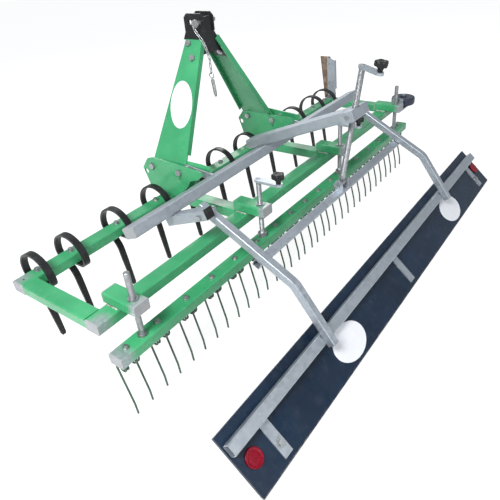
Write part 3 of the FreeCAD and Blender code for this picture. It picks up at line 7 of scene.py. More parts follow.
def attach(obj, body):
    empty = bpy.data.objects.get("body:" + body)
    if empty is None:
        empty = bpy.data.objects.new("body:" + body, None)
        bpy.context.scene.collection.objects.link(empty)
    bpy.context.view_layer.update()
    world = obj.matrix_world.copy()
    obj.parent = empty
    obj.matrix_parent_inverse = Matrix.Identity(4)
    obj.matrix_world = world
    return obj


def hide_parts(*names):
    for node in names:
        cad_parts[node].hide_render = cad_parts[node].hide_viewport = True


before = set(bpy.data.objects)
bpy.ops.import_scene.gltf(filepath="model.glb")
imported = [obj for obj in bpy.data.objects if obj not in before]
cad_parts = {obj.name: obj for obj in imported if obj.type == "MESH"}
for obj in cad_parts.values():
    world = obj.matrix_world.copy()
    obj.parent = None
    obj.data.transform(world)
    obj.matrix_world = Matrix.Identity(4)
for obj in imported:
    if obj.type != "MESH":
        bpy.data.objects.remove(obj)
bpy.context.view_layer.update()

# The CAD's own places, in metres: middle, rear bar's rear face and the frame's top
MIDDLE = -0.037
REAR = 0.0145
TOP = 0.370
FRAME_MIDDLE_Y = REAR + 0.2215
CRANK_X = 0.326
MEMBER_PLACES = (-1.070, -CRANK_X, CRANK_X, 1.070)
HOLDER_PLACES = (-0.985, -CRANK_X, CRANK_X, 0.985)
MEMBER_HALF = 0.030
PLATE_PLACES = (0.3115, 0.3635)
PLATE = 0.008
LUG_INNER = 0.3255
PIVOT_TUBE_PLACES = (-0.620, 0.540)
ARM_PLACES = (-0.584, 0.576)
ARM_HALF = 0.015

# The slants of the cross bar, the arms and the board
TILT = math.radians(21.5)
ARM = math.radians(28.4)
BOARD = math.radians(42.2)
TRUNNION = Vector((MIDDLE, -0.250306, 0.692176))
SWIVEL = Vector((MIDDLE, -0.205413, 0.399159))
SCREW_UP = (TRUNNION - SWIVEL).normalized()
SCREW_OUT = Vector((0, -SCREW_UP.z, SCREW_UP.y))
SCREW_TOP = TRUNNION + SCREW_UP * 0.166
CRANK_REST = math.radians(20.0)
CRANK_RADIUS = 0.082
KNOB_RISE = 0.0103
PITCH = 0.005
PIVOT = Vector((MIDDLE, -0.006065, 0.503535))
X = Vector((1, 0, 0))
Y = Vector((0, 1, 0))
Z = Vector((0, 0, 1))
LIFT_OUT = SCREW_OUT * math.cos(CRANK_REST) - X * math.sin(CRANK_REST)


def place(x, y, z):
    """A point given from the machine's middle, the rear bar's face and the frame's top."""
    return Vector((MIDDLE + x, REAR + y, TOP + z))


# Materials
class Maker:
    """One node material, built up from its shader."""

    def __init__(self, name, roughness, metallic=0.0, **sockets):
        self.material = bpy.data.materials.new(name)
        self.material.use_nodes = True
        self.nodes = self.material.node_tree.nodes
        self.links = self.material.node_tree.links
        self.shader = self.nodes["Principled BSDF"]
        self.shader.inputs["Roughness"].default_value = roughness
        self.shader.inputs["Metallic"].default_value = metallic
        for key, value in sockets.items():
            self.shader.inputs[key.replace("_", " ")].default_value = value
        self.where = self.nodes.new("ShaderNodeTexCoord").outputs["Object"]

    def stretched(self, scale):
        node = self.nodes.new("ShaderNodeMapping")
        node.inputs["Scale"].default_value = scale
        self.links.new(self.where, node.inputs["Vector"])
        return node.outputs["Vector"]

    def noise(self, scale, detail=4.0, rough=0.6, where=None):
        node = self.nodes.new("ShaderNodeTexNoise")
        node.inputs["Scale"].default_value = scale
        node.inputs["Detail"].default_value = detail
        node.inputs["Roughness"].default_value = rough
        self.links.new(where or self.where, node.inputs["Vector"])
        return node.outputs["Fac"]

    def grain(self, scale, detail, low, high, rough=0.6):
        """Noise whose middle range runs from low to high."""
        return self.span(self.noise(scale, detail, rough), 0.3, 0.7, low, high)

    def ragged(self, value, scale, size):
        """A coordinate whose edges are frayed by up to half of size."""
        shift = self.math("MULTIPLY", self.math("SUBTRACT", self.noise(scale, 6.0, 0.7), 0.5), size)
        return self.math("ADD", value, shift)

    def cells(self, scale, where=None, output="Color"):
        node = self.nodes.new("ShaderNodeTexVoronoi")
        node.inputs["Scale"].default_value = scale
        self.links.new(where or self.where, node.inputs["Vector"])
        return node.outputs[output]

    def math(self, operation, a, b=0.0, clamp=False):
        node = self.nodes.new("ShaderNodeMath")
        node.operation = operation
        node.use_clamp = clamp
        for socket, value in zip(node.inputs, (a, b)):
            if isinstance(value, (int, float)):
                socket.default_value = value
            else:
                self.links.new(value, socket)
        return node.outputs[0]

    def split(self, vector):
        node = self.nodes.new("ShaderNodeSeparateXYZ")
        self.links.new(vector, node.inputs[0])
        return node.outputs

    def ramp(self, value, stops):
        node = self.nodes.new("ShaderNodeValToRGB")
        points = node.color_ramp.elements
        while len(points) < len(stops):
            points.new(0.5)
        for point, (at, colour) in zip(points, stops):
            point.position = at
            point.color = (*colour, 1)
        self.links.new(value, node.inputs["Fac"])
        return node.outputs["Color"]

    def span(self, value, low, high, to_low, to_high):
        node = self.nodes.new("ShaderNodeMapRange")
        for key, number in (("From Min", low), ("From Max", high), ("To Min", to_low), ("To Max", to_high)):
            node.inputs[key].default_value = number
        self.links.new(value, node.inputs["Value"])
        return node.outputs["Result"]

    def mix(self, factor, a, b):
        node = self.nodes.new("ShaderNodeMix")
        node.data_type = "RGBA"
        for socket, value in ((node.inputs[0], factor), (node.inputs[6], a), (node.inputs[7], b)):
            if isinstance(value, (int, float)):
                socket.default_value = value
            elif isinstance(value, tuple):
                socket.default_value = (*value, 1)
            else:
                self.links.new(value, socket)
        return node.outputs[2]

    def bump(self, height, strength, distance=0.001):
        node = self.nodes.new("ShaderNodeBump")
        node.inputs["Strength"].default_value = strength
        node.inputs["Distance"].default_value = distance
        self.links.new(height, node.inputs["Height"])
        self.links.new(node.outputs["Normal"], self.shader.inputs["Normal"])

    def set(self, socket, value):
        self.links.new(value, self.shader.inputs[socket])


def paint(name, light, dark, scuff, roughness=0.32, scuffs=0.70, dust=0.10, bare=None, **sockets):
    """Sprayed paint with orange peel, dust and a few scuffs; bare gives a mask of raw zinc."""
    m = Maker(name, roughness, **sockets)
    shade = m.mix(m.grain(5.0, 3.0, 0.0, 1.0), dark, light)
    dusty = m.mix(m.span(m.noise(38.0, 6.0, 0.7), 0.52, 0.8, 0.0, dust), shade, (0.42, 0.42, 0.38))
    marks = m.span(m.noise(55.0, 8.0, 0.75, m.stretched((1.0, 1.0, 3.0))), scuffs, scuffs + 0.05, 0.0, 0.8)
    worn = m.mix(marks, dusty, scuff)
    if bare:
        mask = bare(m)
        raw = m.mix(m.grain(70.0, 5.0, 0.0, 1.0), (0.24, 0.27, 0.29), (0.38, 0.41, 0.43))
        worn = m.mix(mask, worn, raw)
        m.set("Metallic", m.math("MULTIPLY", mask, 0.55))
    m.set("Base Color", worn)
    m.set("Roughness", m.span(m.noise(16.0, 5.0), 0.3, 0.75, roughness - 0.06, roughness + 0.2))
    m.bump(m.noise(700.0, 2.0), 0.12, 0.0004)
    return m.material


def frame_corners(m):
    """Thin paint over the zinc where the frame's members meet at the four corners."""
    parts = m.split(m.where)
    far = m.ragged(m.math("ABSOLUTE", m.math("SUBTRACT", parts[0], MIDDLE)), 34.0, 0.050)
    away = m.ragged(m.math("ABSOLUTE", m.math("SUBTRACT", parts[1], FRAME_MIDDLE_Y)), 34.0, 0.050)
    outer = m.span(far, 1.030, 1.070, 0.0, 1.0)
    ends = m.span(away, 0.168, 0.200, 0.0, 1.0)
    return m.math("MULTIPLY", m.math("MULTIPLY", outer, ends, True), 0.80)


def holder_ends(m):
    """Bare zinc along the open rear ends of the rod holders."""
    edge = m.ragged(m.split(m.where)[1], 46.0, 0.030)
    return m.span(edge, REAR - 0.062, REAR - 0.046, 0.8, 0.0)


def harrow_end(m):
    """Bare zinc at the left end of the harrow bar."""
    edge = m.ragged(m.split(m.where)[0], 40.0, 0.040)
    return m.span(edge, MIDDLE - 1.075, MIDDLE - 1.040, 0.85, 0.0)


def galvanised(name, tone):
    """Hot-dip zinc: spangle cells, clouds of dull oxide and fine runs."""
    m = Maker(name, 0.42, 0.72)
    warped = m.nodes.new("ShaderNodeVectorMath")
    warped.operation = "ADD"
    drift = m.nodes.new("ShaderNodeTexNoise")
    drift.inputs["Scale"].default_value = 40.0
    m.links.new(m.where, drift.inputs["Vector"])
    shrink = m.nodes.new("ShaderNodeVectorMath")
    shrink.operation = "SCALE"
    shrink.inputs["Scale"].default_value = 0.012
    m.links.new(drift.outputs["Color"], shrink.inputs[0])
    m.links.new(m.where, warped.inputs[0])
    m.links.new(shrink.outputs["Vector"], warped.inputs[1])
    cell = m.split(m.cells(95.0, warped.outputs["Vector"]))[0]
    low, high, dull = (tuple(c * tone for c in colour) for colour in (
        (0.31, 0.345, 0.385), (0.39, 0.425, 0.465), (0.37, 0.40, 0.43)))
    spangle = m.mix(m.span(cell, 0.0, 1.0, 0.1, 0.9), low, high)
    clouds = m.mix(m.span(m.noise(9.0, 5.0), 0.35, 0.7, 0.0, 0.55), spangle, dull)
    stains = m.span(m.noise(24.0, 7.0, 0.7), 0.64, 0.78, 0.0, 0.35)
    m.set("Base Color", m.mix(stains, clouds, (0.26, 0.26, 0.25)))
    m.set("Roughness", m.span(cell, 0.0, 1.0, 0.34, 0.52))
    m.bump(m.noise(160.0, 4.0), 0.15, 0.0005)
    return m.material


def steel(name, light, dark, roughness, stains=0.66):
    """Bare or plated steel with fine grain and a few rust-coloured spots."""
    m = Maker(name, roughness, 0.9)
    grain = m.mix(m.grain(90.0, 5.0, 0.0, 1.0), dark, light)
    spots = m.span(m.noise(60.0, 8.0, 0.75), stains, stains + 0.1, 0.0, 0.7)
    m.set("Base Color", m.mix(spots, grain, (0.25, 0.17, 0.10)))
    m.set("Roughness", m.grain(45.0, 5.0, roughness - 0.08, roughness + 0.14))
    m.bump(m.noise(420.0, 3.0), 0.12, 0.0003)
    return m.material


def plastic(name, light, dark, roughness, **sockets):
    """Moulded plastic with a fine spark-eroded grain."""
    m = Maker(name, roughness, **sockets)
    shade = m.mix(m.noise(30.0, 4.0), dark, light)
    dust = m.span(m.noise(70.0, 7.0, 0.7), 0.55, 0.8, 0.0, 0.2)
    m.set("Base Color", m.mix(dust, shade, (0.35, 0.33, 0.30)))
    m.set("Roughness", m.grain(50.0, 4.0, roughness - 0.08, roughness + 0.12))
    m.bump(m.noise(1500.0, 2.0), 0.2, 0.0002)
    return m.material


def board_paint(name):
    """Dark coated board, scraped bare along the low edge that meets the ground."""
    m = Maker(name, 0.30, Specular_IOR_Level=0.28)
    shade = m.mix(m.grain(4.0, 4.0, 0.0, 1.0), (0.003, 0.010, 0.023), (0.006, 0.018, 0.040))
    dusty = m.mix(m.span(m.noise(22.0, 7.0, 0.75), 0.5, 0.8, 0.0, 0.10), shade, (0.16, 0.17, 0.19))
    streaks = m.noise(26.0, 6.0, 0.7, m.stretched((6.0, 0.7, 0.7)))
    marks = m.span(streaks, 0.66, 0.74, 0.0, 0.35)
    scraped = m.mix(marks, dusty, (0.20, 0.20, 0.21))
    height = m.split(m.where)[2]
    ragged = m.math("ADD", height, m.math("MULTIPLY", m.noise(45.0, 6.0, 0.7), -0.010))
    bare = m.span(ragged, -0.002, 0.005, 1.0, 0.0)
    m.set("Base Color", m.mix(bare, scraped, (0.27, 0.25, 0.23)))
    m.set("Roughness", m.grain(12.0, 5.0, 0.22, 0.42))
    m.bump(m.noise(500.0, 3.0), 0.1, 0.0004)
    return m.material


def reflector_plastic(name):
    """Red lens over a honeycomb of small prisms."""
    m = Maker(name, 0.22, 0.0, Specular_IOR_Level=0.18)
    cell = m.cells(330.0, output="Distance")
    edge = m.span(cell, 0.0, 0.55, 1.0, 0.0)
    m.set("Base Color", m.mix(edge, (0.13, 0.001, 0.008), (0.30, 0.003, 0.020)))
    m.bump(cell, 0.35, 0.0006)
    return m.material


def sticker(name):
    """Bare white film, slightly soiled."""
    m = Maker(name, 0.34, 0.0, Coat_Weight=0.25)
    film = m.mix(m.span(m.noise(26.0, 6.0), 0.45, 0.8, 0.0, 0.35), (0.60, 0.61, 0.64), (0.50, 0.51, 0.52))
    m.set("Base Color", film)
    m.set("Roughness", m.grain(40.0, 4.0, 0.28, 0.45))
    m.bump(m.noise(300.0, 3.0), 0.06, 0.0002)
    return m.material


def worn_blade(name):
    """Blade steel with baked-on soil and rust."""
    m = Maker(name, 0.62, 0.35)
    stops = [(0.30, (0.085, 0.048, 0.028)), (0.50, (0.17, 0.115, 0.075)), (0.64, (0.26, 0.20, 0.15)),
             (0.82, (0.34, 0.32, 0.30))]
    rust = m.ramp(m.noise(28.0, 9.0, 0.7), stops)
    m.set("Base Color", rust)
    m.set("Roughness", m.grain(60.0, 6.0, 0.48, 0.8))
    m.bump(m.noise(150.0, 8.0, 0.7), 0.5, 0.0008)
    return m.material


PAINT = ((0.042, 0.290, 0.120), (0.026, 0.215, 0.088), (0.09, 0.25, 0.13))
GLOSS = {"roughness": 0.28, "Coat_Weight": 0.15, "Coat_Roughness": 0.12, "Specular_IOR_Level": 0.40}
GREEN = paint("green_paint", *PAINT, **GLOSS)
FRAME_GREEN = paint("frame_paint", *PAINT, bare=frame_corners, **GLOSS)
HOLDER_GREEN = paint("holder_paint", *PAINT, bare=holder_ends, **GLOSS)
HARROW_GREEN = paint("harrow_paint", *PAINT, bare=harrow_end, **GLOSS)
BLACK = paint("black_paint", (0.010, 0.011, 0.012), (0.005, 0.005, 0.006), (0.09, 0.09, 0.08), 0.36,
              dust=0.05, Specular_IOR_Level=0.35)
ZINC_DIP = galvanised("galvanised", 0.95)
ZINC_PLATE = steel("zinc_plate", (0.44, 0.45, 0.45), (0.28, 0.29, 0.30), 0.38)
BRIGHT = steel("bright_steel", (0.38, 0.39, 0.40), (0.22, 0.23, 0.24), 0.42, stains=0.72)
CAP = plastic("cap_grey", (0.30, 0.31, 0.32), (0.21, 0.22, 0.23), 0.50)
KNOB = plastic("knob_black", (0.008, 0.009, 0.009), (0.004, 0.004, 0.004), 0.42, Specular_IOR_Level=0.3)
NAVY = plastic("navy_roller", (0.016, 0.022, 0.050), (0.008, 0.011, 0.026), 0.40)
BOARD_PAINT = board_paint("board_paint")
RED = reflector_plastic("red_reflector")
BLADE = worn_blade("worn_steel")
WIRE = paint("wire_paint", (0.030, 0.095, 0.050), (0.012, 0.035, 0.022), (0.30, 0.28, 0.24), 0.42, 0.60)
WELD = steel("weld_bead", (0.36, 0.38, 0.39), (0.20, 0.21, 0.22), 0.46)
RAW_WELD = steel("raw_weld", (0.70, 0.69, 0.64), (0.34, 0.34, 0.32), 0.44, stains=0.60)
GREEN_WELD = paint("green_weld", (0.036, 0.270, 0.112), (0.020, 0.180, 0.074), (0.08, 0.22, 0.12), 0.34)
FILM = sticker("white_film")

CAD_MATERIALS = {
    GREEN: ("inner_members", "hitch_plates", "mast_uprights"),
    FRAME_GREEN: ("front_bar", "rear_bar", "end_members"),
    HOLDER_GREEN: ("rod_holders",),
    HARROW_GREEN: ("harrow_bar",),
    BLACK: ("front_tines", "top_link_bracket"),
    WIRE: ("harrow_tines",),
    ZINC_DIP: ("cross_bar", "cross_bar_lugs", "boom", "boom_head", "pivot_tubes", "board_arms",
               "cross_tube", "swivel_plates", "arm_rail", "board_straps", "blade_bracket", "blade_carrier",
               "left_crank_arm", "right_crank_arm", "lift_crank_arm", "wheel_bracket"),
    ZINC_PLATE: ("front_tine_bolts", "hitch_bolts", "mast_bolts", "pivot_bolts", "harrow_bolts",
                 "strap_bolts", "blade_bolts", "tether_chain", "linch_pin", "top_link_pin"),
    BRIGHT: ("guide_bushes", "crank_nuts", "guide_rods", "screw_feet", "left_crank_screw",
             "right_crank_screw", "lift_screw", "trunnion_nut", "swivel_block"),
    CAP: ("frame_end_caps", "holder_end_caps", "cross_bar_caps", "harrow_end_caps"),
    KNOB: ("left_crank_knob", "right_crank_knob", "lift_crank_knob", "pivot_tube_plugs"),
    NAVY: ("spacer_wheel",),
    BOARD_PAINT: ("levelling_board",),
    RED: ("reflectors",),
    BLADE: ("edge_blade",),
}


def dress(name, material):
    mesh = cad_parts[name].data
    mesh.materials.clear()
    mesh.materials.append(material)


for material, names in CAD_MATERIALS.items():
    for name in names:
        dress(name, material)


dress("upright_oval", FILM)


# The board's own directions
board_down = Vector((0, -math.cos(BOARD), -math.sin(BOARD)))
board_up = Vector((0, -math.sin(BOARD), math.cos(BOARD)))
board_edge = Vector((MIDDLE, -0.565 + REAR, 0.010 * math.cos(BOARD))) - board_down * 0.216


def on_board(x, run, rise):
    return board_edge + X * x + board_down * run + board_up * rise


# Mesh pieces
def piece(name, verts, faces, material, body, smooth=True):
    mesh = bpy.data.meshes.new(name)
    mesh.from_pydata([tuple(v) for v in verts], [], faces)
    mesh.validate()
    bm = bmesh.new()
    bm.from_mesh(mesh)
    bmesh.ops.recalc_face_normals(bm, faces=bm.faces)
    bm.to_mesh(mesh)
    bm.free()
    for polygon in mesh.polygons:
        polygon.use_smooth = smooth
    mesh.materials.append(material)
    obj = bpy.data.objects.new(name, mesh)
    bpy.context.scene.collection.objects.link(obj)
    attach(obj, body)
    return obj


def rings(loops, closed_ends=True):
    """Vertices and faces through loops of equal length."""
    verts = [v for loop in loops for v in loop]
    n = len(loops[0])
    faces = []
    for i in range(len(loops) - 1):
        for k in range(n):
            a, b = i * n + k, i * n + (k + 1) % n
            faces.append((a, b, b + n, a + n))
    if closed_ends:
        faces.append(tuple(reversed(range(n))))
        faces.append(tuple(range((len(loops) - 1) * n, len(loops) * n)))
    return verts, faces


def side_of(axis):
    other = X if abs(axis.x) < 0.9 else Y
    u = (other - axis * other.dot(axis)).normalized()
    return u, axis.cross(u)


def circle(centre, u, v, radius, count):
    """Points round a centre; the radius is a number or a function of the angle."""
    points = []
    for k in range(count):
        a = 2 * math.pi * k / count
        r = radius(a) if callable(radius) else radius
        points.append(centre + u * (r * math.cos(a)) + v * (r * math.sin(a)))
    return points


def turned(start, axis, profile, count=40):
    """Loops of a turned piece: profile holds (run, radius)."""
    u, v = side_of(axis)
    return rings([circle(start + axis * run, u, v, radius, count) for run, radius in profile])


def threaded(start, axis, length, radius, depth, count=28, rows=8):
    """Trapezoidal thread as one skin, fading out at both ends."""
    u, v = side_of(axis)
    steps = int(length / PITCH * rows)
    loops = []
    for i in range(steps + 1):
        run = length * i / steps
        fade = min(1.0, run / PITCH, (length - run) / PITCH)

        def groove(a):
            phase = (run / PITCH - a / (2 * math.pi)) % 1.0
            rise = min(1.0, max(0.0, abs(phase - 0.5) * 4.6 - 0.65))
            return radius - depth * rise * fade

        loops.append(circle(start + axis * run, u, v, groove, count))
    return rings(loops)


def join(*shapes):
    """Several vertex and face lists as one."""
    verts, faces = [], []
    for v, f in shapes:
        faces = faces + [tuple(i + len(verts) for i in face) for face in f]
        verts = verts + list(v)
    return verts, faces


SPIGOT = [(0, 0.007), (0.0108, 0.007), (0.0115, 0.0062)]
CRANK_COLLAR = [(0, 0.0124), (0.0006, 0.013), (0.0054, 0.013), (0.006, 0.0124), (0.006, 0.0098),
                (0.024, 0.0098), (0.0245, 0.0092)]
CRANK_THREAD_LOW, CRANK_THREAD_HIGH = 0.024, 0.2337
LIFT_SHOULDER = [(0, 0.0112), (0.0008, 0.012), (0.0298, 0.012), (0.0305, 0.0105)]
LIFT_THREAD_LOW = 0.03
LIFT_JOURNAL = [(0, 0.0045), (0.0005, 0.005), (0.005, 0.005), (0.005, 0.007), (0.0316, 0.007)]
LIFT_NUT = [(0, 0.0092), (0.0006, 0.0098), (0.0044, 0.0098), (0.005, 0.0092)]
KNOB_HUB = [(0.0, 0.0085), (0.0004, 0.009), (0.010, 0.0104), (0.0165, 0.0120)]
KNOB_HEAD = [(0.0175, 0.0150), (0.0178, 0.0205), (0.0186, 0.0232), (0.0205, 0.0247), (0.0235, 0.0250),
             (0.0320, 0.0250), (0.0350, 0.0245), (0.0368, 0.0230), (0.0376, 0.0205), (0.0380, 0.0170)]
KNOB_DISH = [(0.0380, 0.0110), (0.0375, 0.0100), (0.0370, 0.0094), (0.0370, 0.0050)]
KNOB_LOBES = 5


def crank_screw(side, x):
    """Collar, thread and squared end of an outer crank screw."""
    disc = place(x, -0.043, -0.0957)
    plain = turned(disc, Z, CRANK_COLLAR)
    thread = threaded(disc + Z * CRANK_THREAD_LOW, Z, CRANK_THREAD_HIGH - CRANK_THREAD_LOW, 0.010, 0.0016)
    spigot = turned(disc + Z * 0.2335, Z, SPIGOT)
    screw = piece(side + "_crank_thread", *join(plain, thread, spigot), BRIGHT, side + "_crank")
    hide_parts(side + "_crank_screw")


def lift_thread():
    """The central lifting screw with its journal below and the nut that holds it."""
    shoulder = SWIVEL + SCREW_UP * 0.0133
    low = SWIVEL - SCREW_UP * 0.0183
    foot = shoulder + SCREW_UP * LIFT_THREAD_LOW
    thread = threaded(foot, SCREW_UP, (SCREW_TOP - shoulder).length - LIFT_THREAD_LOW, 0.012, 0.0018)
    plain = turned(shoulder, SCREW_UP, LIFT_SHOULDER)
    journal = turned(low, SCREW_UP, LIFT_JOURNAL)
    spigot = turned(SCREW_TOP, SCREW_UP, SPIGOT)
    screw = piece("lift_screw_thread", *join(plain, thread, journal, spigot), BRIGHT, "lift_screw")
    sides = turned(low, SCREW_UP, LIFT_NUT, 6)
    nut = piece("lift_screw_nut", *sides, ZINC_PLATE, "lift_screw", smooth=False)
    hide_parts("lift_screw")


def star_knob(name, node, body, centre, axis, out):
    """Five-lobed knob with rounded edges on its tapered hub."""
    side = axis.cross(out)

    def lobed(size):
        def radius(a):
            wave = 0.5 + 0.5 * math.cos(KNOB_LOBES * a)
            return size * (0.775 + 0.225 * wave ** 0.7)
        return radius

    profile = KNOB_HUB + [(run, lobed(size)) for run, size in KNOB_HEAD] + KNOB_DISH
    loops = [circle(centre + axis * run, out, side, r, 90) for run, r in profile]
    knob = piece(name, *rings(loops), KNOB, body)
    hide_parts(node)


crank_screw("left", -CRANK_X)
crank_screw("right", CRANK_X)
lift_thread()
for side, x in (("left", -CRANK_X), ("right", CRANK_X)):
    star_knob(side + "_star_knob", side + "_crank_knob", side + "_knob", place(x, -0.133, 0.1483), Z, -Y)
star_knob("lift_star_knob", "lift_crank_knob", "lift_knob",
          SCREW_TOP + LIFT_OUT * CRANK_RADIUS + SCREW_UP * KNOB_RISE, SCREW_UP, LIFT_OUT)


# Bare white ovals on the board, slightly domed at the rim
OVAL_HALF_LONG, OVAL_HALF_WIDE = 0.094, 0.063
OVAL_PROFILE = ((1.0, 0.0), (1.0, 0.0006), (0.992, 0.0010), (0.90, 0.0010), (0.5, 0.0010), (0.05, 0.0010))


def board_oval(name, x):
    centre = on_board(x, 0.140, 0)
    along, down = X * OVAL_HALF_LONG, board_down * OVAL_HALF_WIDE
    loops = [circle(centre + board_up * rise, along, down, share, 96) for share, rise in OVAL_PROFILE]
    return piece(name, *rings(loops), FILM, "board_frame", smooth=False)


ovals = [board_oval("left_board_oval", -0.485), board_oval("right_board_oval", 0.602)]
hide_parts("board_ovals")


# Reflectors: rim and lens
LENS_PROFILE = [(0, 0.0292), (0.0006, 0.030), (0.0052, 0.030), (0.0064, 0.0292), (0.0070, 0.0280),
                (0.0070, 0.0268), (0.0060, 0.0262), (0.0064, 0.0200), (0.0067, 0.0100), (0.0068, 0.0020)]


def reflector(name, x, run):
    return piece(name, *turned(on_board(x, run, 0), board_up, LENS_PROFILE, 64), RED, "board_frame")


lenses = [reflector("left_reflector", -1.045, 0.122), reflector("right_reflector", 1.060, 0.108)]
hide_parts("reflectors")


# Weld beads: rippled half-round runs along the seams
RIPPLE = 0.0045
BEAD_STEP = 0.0016
SUNK = 0.0004


def bead(a, b, width, out_1, out_2):
    """Seam from a to b in the corner between the directions out_1 and out_2."""
    length = (b - a).length
    along = (b - a) / length
    steps = max(6, int(length / BEAD_STEP))
    loops = []
    for i in range(steps + 1):
        run = length * i / steps
        end = min(1.0, 0.35 + min(run, length - run) / width)
        swell = 0.88 + 0.12 * abs(math.sin(math.pi * run / RIPPLE))
        size = width * swell * end
        centre = a + along * run
        loop = [centre - out_1 * SUNK - out_2 * SUNK]
        for k in range(7):
            t = math.radians(90) * k / 6
            r = size * (0.80 + 0.20 * math.sin(2 * t))
            loop.append(centre + out_1 * (r * math.cos(t)) + out_2 * (r * math.sin(t)))
        loops.append(loop)
    return rings(loops)


def weld(name, body, material, seams, width=0.004):
    piece(name, *join(*[bead(a, b, width, p, q) for a, b, p, q in seams]), material, body)


def frame_seams():
    """Where the four members meet the two bars."""
    seams = []
    for x in MEMBER_PLACES:
        for y, out in ((0.060, Y), (0.383, -Y)):
            for side in (-1, 1):
                edge = x + side * MEMBER_HALF
                if abs(edge) > 1.095:
                    continue
                seams.append((place(edge, y, -0.035), place(edge, y, -0.005), X * side, out))
    return seams


def holder_seams():
    """Where the rod holders lie on the rear bar."""
    seams = []
    for x in HOLDER_PLACES:
        for side in (-1, 1):
            edge = x + side * MEMBER_HALF
            seams.append((place(edge, 0.004, 0), place(edge, 0.056, 0), X * side, Z))
    return seams


def both_faces(inner, thick):
    """The places and outward directions of the faces of two mirrored plates."""
    return [(-inner - thick, -X), (-inner, X), (inner, -X), (inner + thick, X)]


def plate_seams():
    """Where the hitch plates stand on the front bar."""
    seams = []
    for inner in PLATE_PLACES:
        for x, out in both_faces(inner, PLATE):
            seams.append((place(x, 0.387, 0), place(x, 0.440, 0), out, Z))
    return seams


tilt_along = Vector((0, math.cos(TILT), -math.sin(TILT)))
tilt_up = Vector((0, math.sin(TILT), math.cos(TILT)))


def tilted(x, run, rise):
    return place(x, 0.1355, 0.1215) + tilt_along * run + tilt_up * rise


def upper_seams():
    """Round the cross bar: boom, boom head, pivot tubes and lugs."""
    seams = []
    for side in (-1, 1):
        x = side * 0.040
        seams.append((tilted(x, -0.026, 0.020), tilted(x, 0.026, 0.020), X * side, tilt_up))
    for side in (-1, 1):
        x = side * 0.036
        seams.append((tilted(x, -0.417, 0.055), tilted(x, -0.417, 0.025), X * side, tilt_along))
    for place_x in PIVOT_TUBE_PLACES:
        for side in (-1, 1):
            x = place_x + side * 0.020
            seams.append((tilted(x, -0.026, -0.020), tilted(x, 0.020, -0.020), X * side, -tilt_up))
    for x, out in both_faces(LUG_INNER, PLATE):
        seams.append((tilted(x, 0.030, -0.010), tilted(x, 0.030, 0.010), out, tilt_along))
    return seams


arm_along = Vector((0, -math.cos(ARM), -math.sin(ARM)))
arm_up = Vector((0, -math.sin(ARM), math.cos(ARM)))
arm_reference = PIVOT - arm_up * 0.006


def on_arm(x, run, rise):
    return arm_reference + X * x + arm_along * run + arm_up * rise


def arm_seams():
    """Where the arms and the swivel plates meet the cross tube."""
    seams = []
    left, right = ARM_PLACES
    for x, side in ((left, 1), (right, 1), (right, -1)):
        edge = x + side * ARM_HALF
        seams.append((on_arm(edge, 0.229, -ARM_HALF), on_arm(edge, 0.253, -ARM_HALF), X * side, -arm_up))
    for side in (-1, 1):
        x = side * 0.027
        seams.append((on_arm(x, 0.231, -0.021), on_arm(x, 0.251, -0.021), X * side, arm_up))
    return seams


weld("member_welds", "frame", GREEN_WELD, frame_seams())
weld("holder_welds", "frame", RAW_WELD, holder_seams(), 0.0055)
weld("plate_welds", "frame", GREEN_WELD, plate_seams())
weld("upper_welds", "frame", WELD, upper_seams())
weld("arm_welds", "board_frame", WELD, arm_seams())


# Floor, light and camera
FLOOR_HALF = 14.0
FLOOR_DROP = 0.0005


def stage_floor():
    """White floor that glows for the camera and still takes the shadow."""
    mesh = bpy.data.meshes.new("floor")
    corners = [(x * FLOOR_HALF, y * FLOOR_HALF, 0) for x, y in ((-1, -1), (1, -1), (1, 1), (-1, 1))]
    mesh.from_pydata(corners, [], [(0, 1, 2, 3)])
    floor = bpy.data.objects.new("floor", mesh)
    bpy.context.scene.collection.objects.link(floor)
    floor.location.z = -FLOOR_DROP
    m = Maker("floor_white", 0.9)
    m.shader.inputs["Base Color"].default_value = (0.86, 0.86, 0.86, 1)
    m.shader.inputs["Specular IOR Level"].default_value = 0.1
    glow = m.nodes.new("ShaderNodeEmission")
    glow.inputs["Color"].default_value = (1, 1, 1, 1)
    glow.inputs["Strength"].default_value = 1.17
    path = m.nodes.new("ShaderNodeLightPath")
    seen = m.math("MAXIMUM", path.outputs["Is Camera Ray"], path.outputs["Is Transmission Ray"])
    share = m.math("MULTIPLY", seen, 0.72)
    blend = m.nodes.new("ShaderNodeMixShader")
    m.links.new(share, blend.inputs[0])
    m.links.new(m.shader.outputs[0], blend.inputs[1])
    m.links.new(glow.outputs[0], blend.inputs[2])
    m.links.new(blend.outputs[0], m.nodes["Material Output"].inputs["Surface"])
    mesh.materials.append(m.material)


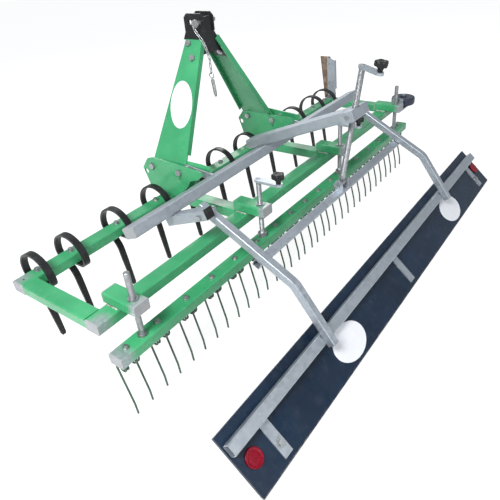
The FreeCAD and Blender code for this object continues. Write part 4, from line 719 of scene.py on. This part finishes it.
def world_light(strength):
    """Pale blue sky light; the camera itself sees plain white."""
    world = bpy.data.worlds.new("studio")
    bpy.context.scene.world = world
    world.use_nodes = True
    nodes, links = world.node_tree.nodes, world.node_tree.links
    back = nodes["Background"]
    back.inputs["Color"].default_value = (0.90, 0.95, 1.0, 1)
    back.inputs["Strength"].default_value = strength
    seen_back = nodes.new("ShaderNodeBackground")
    seen_back.inputs["Color"].default_value = (1, 1, 1, 1)
    path = nodes.new("ShaderNodeLightPath")
    every = nodes.new("ShaderNodeMath")
    every.operation = "MAXIMUM"
    links.new(path.outputs["Is Camera Ray"], every.inputs[0])
    links.new(path.outputs["Is Transmission Ray"], every.inputs[1])
    blend = nodes.new("ShaderNodeMixShader")
    links.new(every.outputs[0], blend.inputs[0])
    links.new(back.outputs[0], blend.inputs[1])
    links.new(seen_back.outputs[0], blend.inputs[2])
    links.new(blend.outputs[0], nodes["World Output"].inputs["Surface"])


def area_light(name, position, target, size, power):
    data = bpy.data.lights.new(name, "AREA")
    data.shape = "DISK"
    data.size = size
    data.energy = power
    lamp = bpy.data.objects.new(name, data)
    bpy.context.scene.collection.objects.link(lamp)
    lamp.location = position
    lamp.rotation_euler = (Vector(target) - Vector(position)).to_track_quat("-Z", "Y").to_euler()


LAMPS = (("key", (-3.0, -0.4, 3.2), (-0.2, 0.2, 0.3), 1.4, 215),
         ("fill", (-1.0, -4.0, 2.2), (0, 0, 0.3), 3.0, 60),
         ("rim", (3.0, 2.6, 3.0), (0, 0, 0.4), 2.4, 70))
WORLD_STRENGTH = 0.55
CAMERA_PLACE = Vector((-1.706, -1.0445, 1.310))
CAMERA_RIGHT = Vector((0.5851, -0.8069, -0.0810))
CAMERA_BACK = Vector((-0.6500, -0.5264, 0.5481)).normalized()
LENS, SENSOR = 35.77, 36.0

stage_floor()
world_light(WORLD_STRENGTH)
for lamp in LAMPS:
    area_light(*lamp)

camera_data = bpy.data.cameras.new("camera")
camera_data.lens = LENS
camera_data.sensor_width = SENSOR
camera_data.clip_start = 0.05
camera = bpy.data.objects.new("camera", camera_data)
bpy.context.scene.collection.objects.link(camera)
upward = CAMERA_BACK.cross(CAMERA_RIGHT).normalized()
turn = Matrix((upward.cross(CAMERA_BACK), upward, CAMERA_BACK)).transposed()
camera.matrix_world = Matrix.Translation(CAMERA_PLACE) @ turn.to_4x4()
bpy.context.scene.camera = camera
bpy.context.scene.view_settings.view_transform = "Standard"
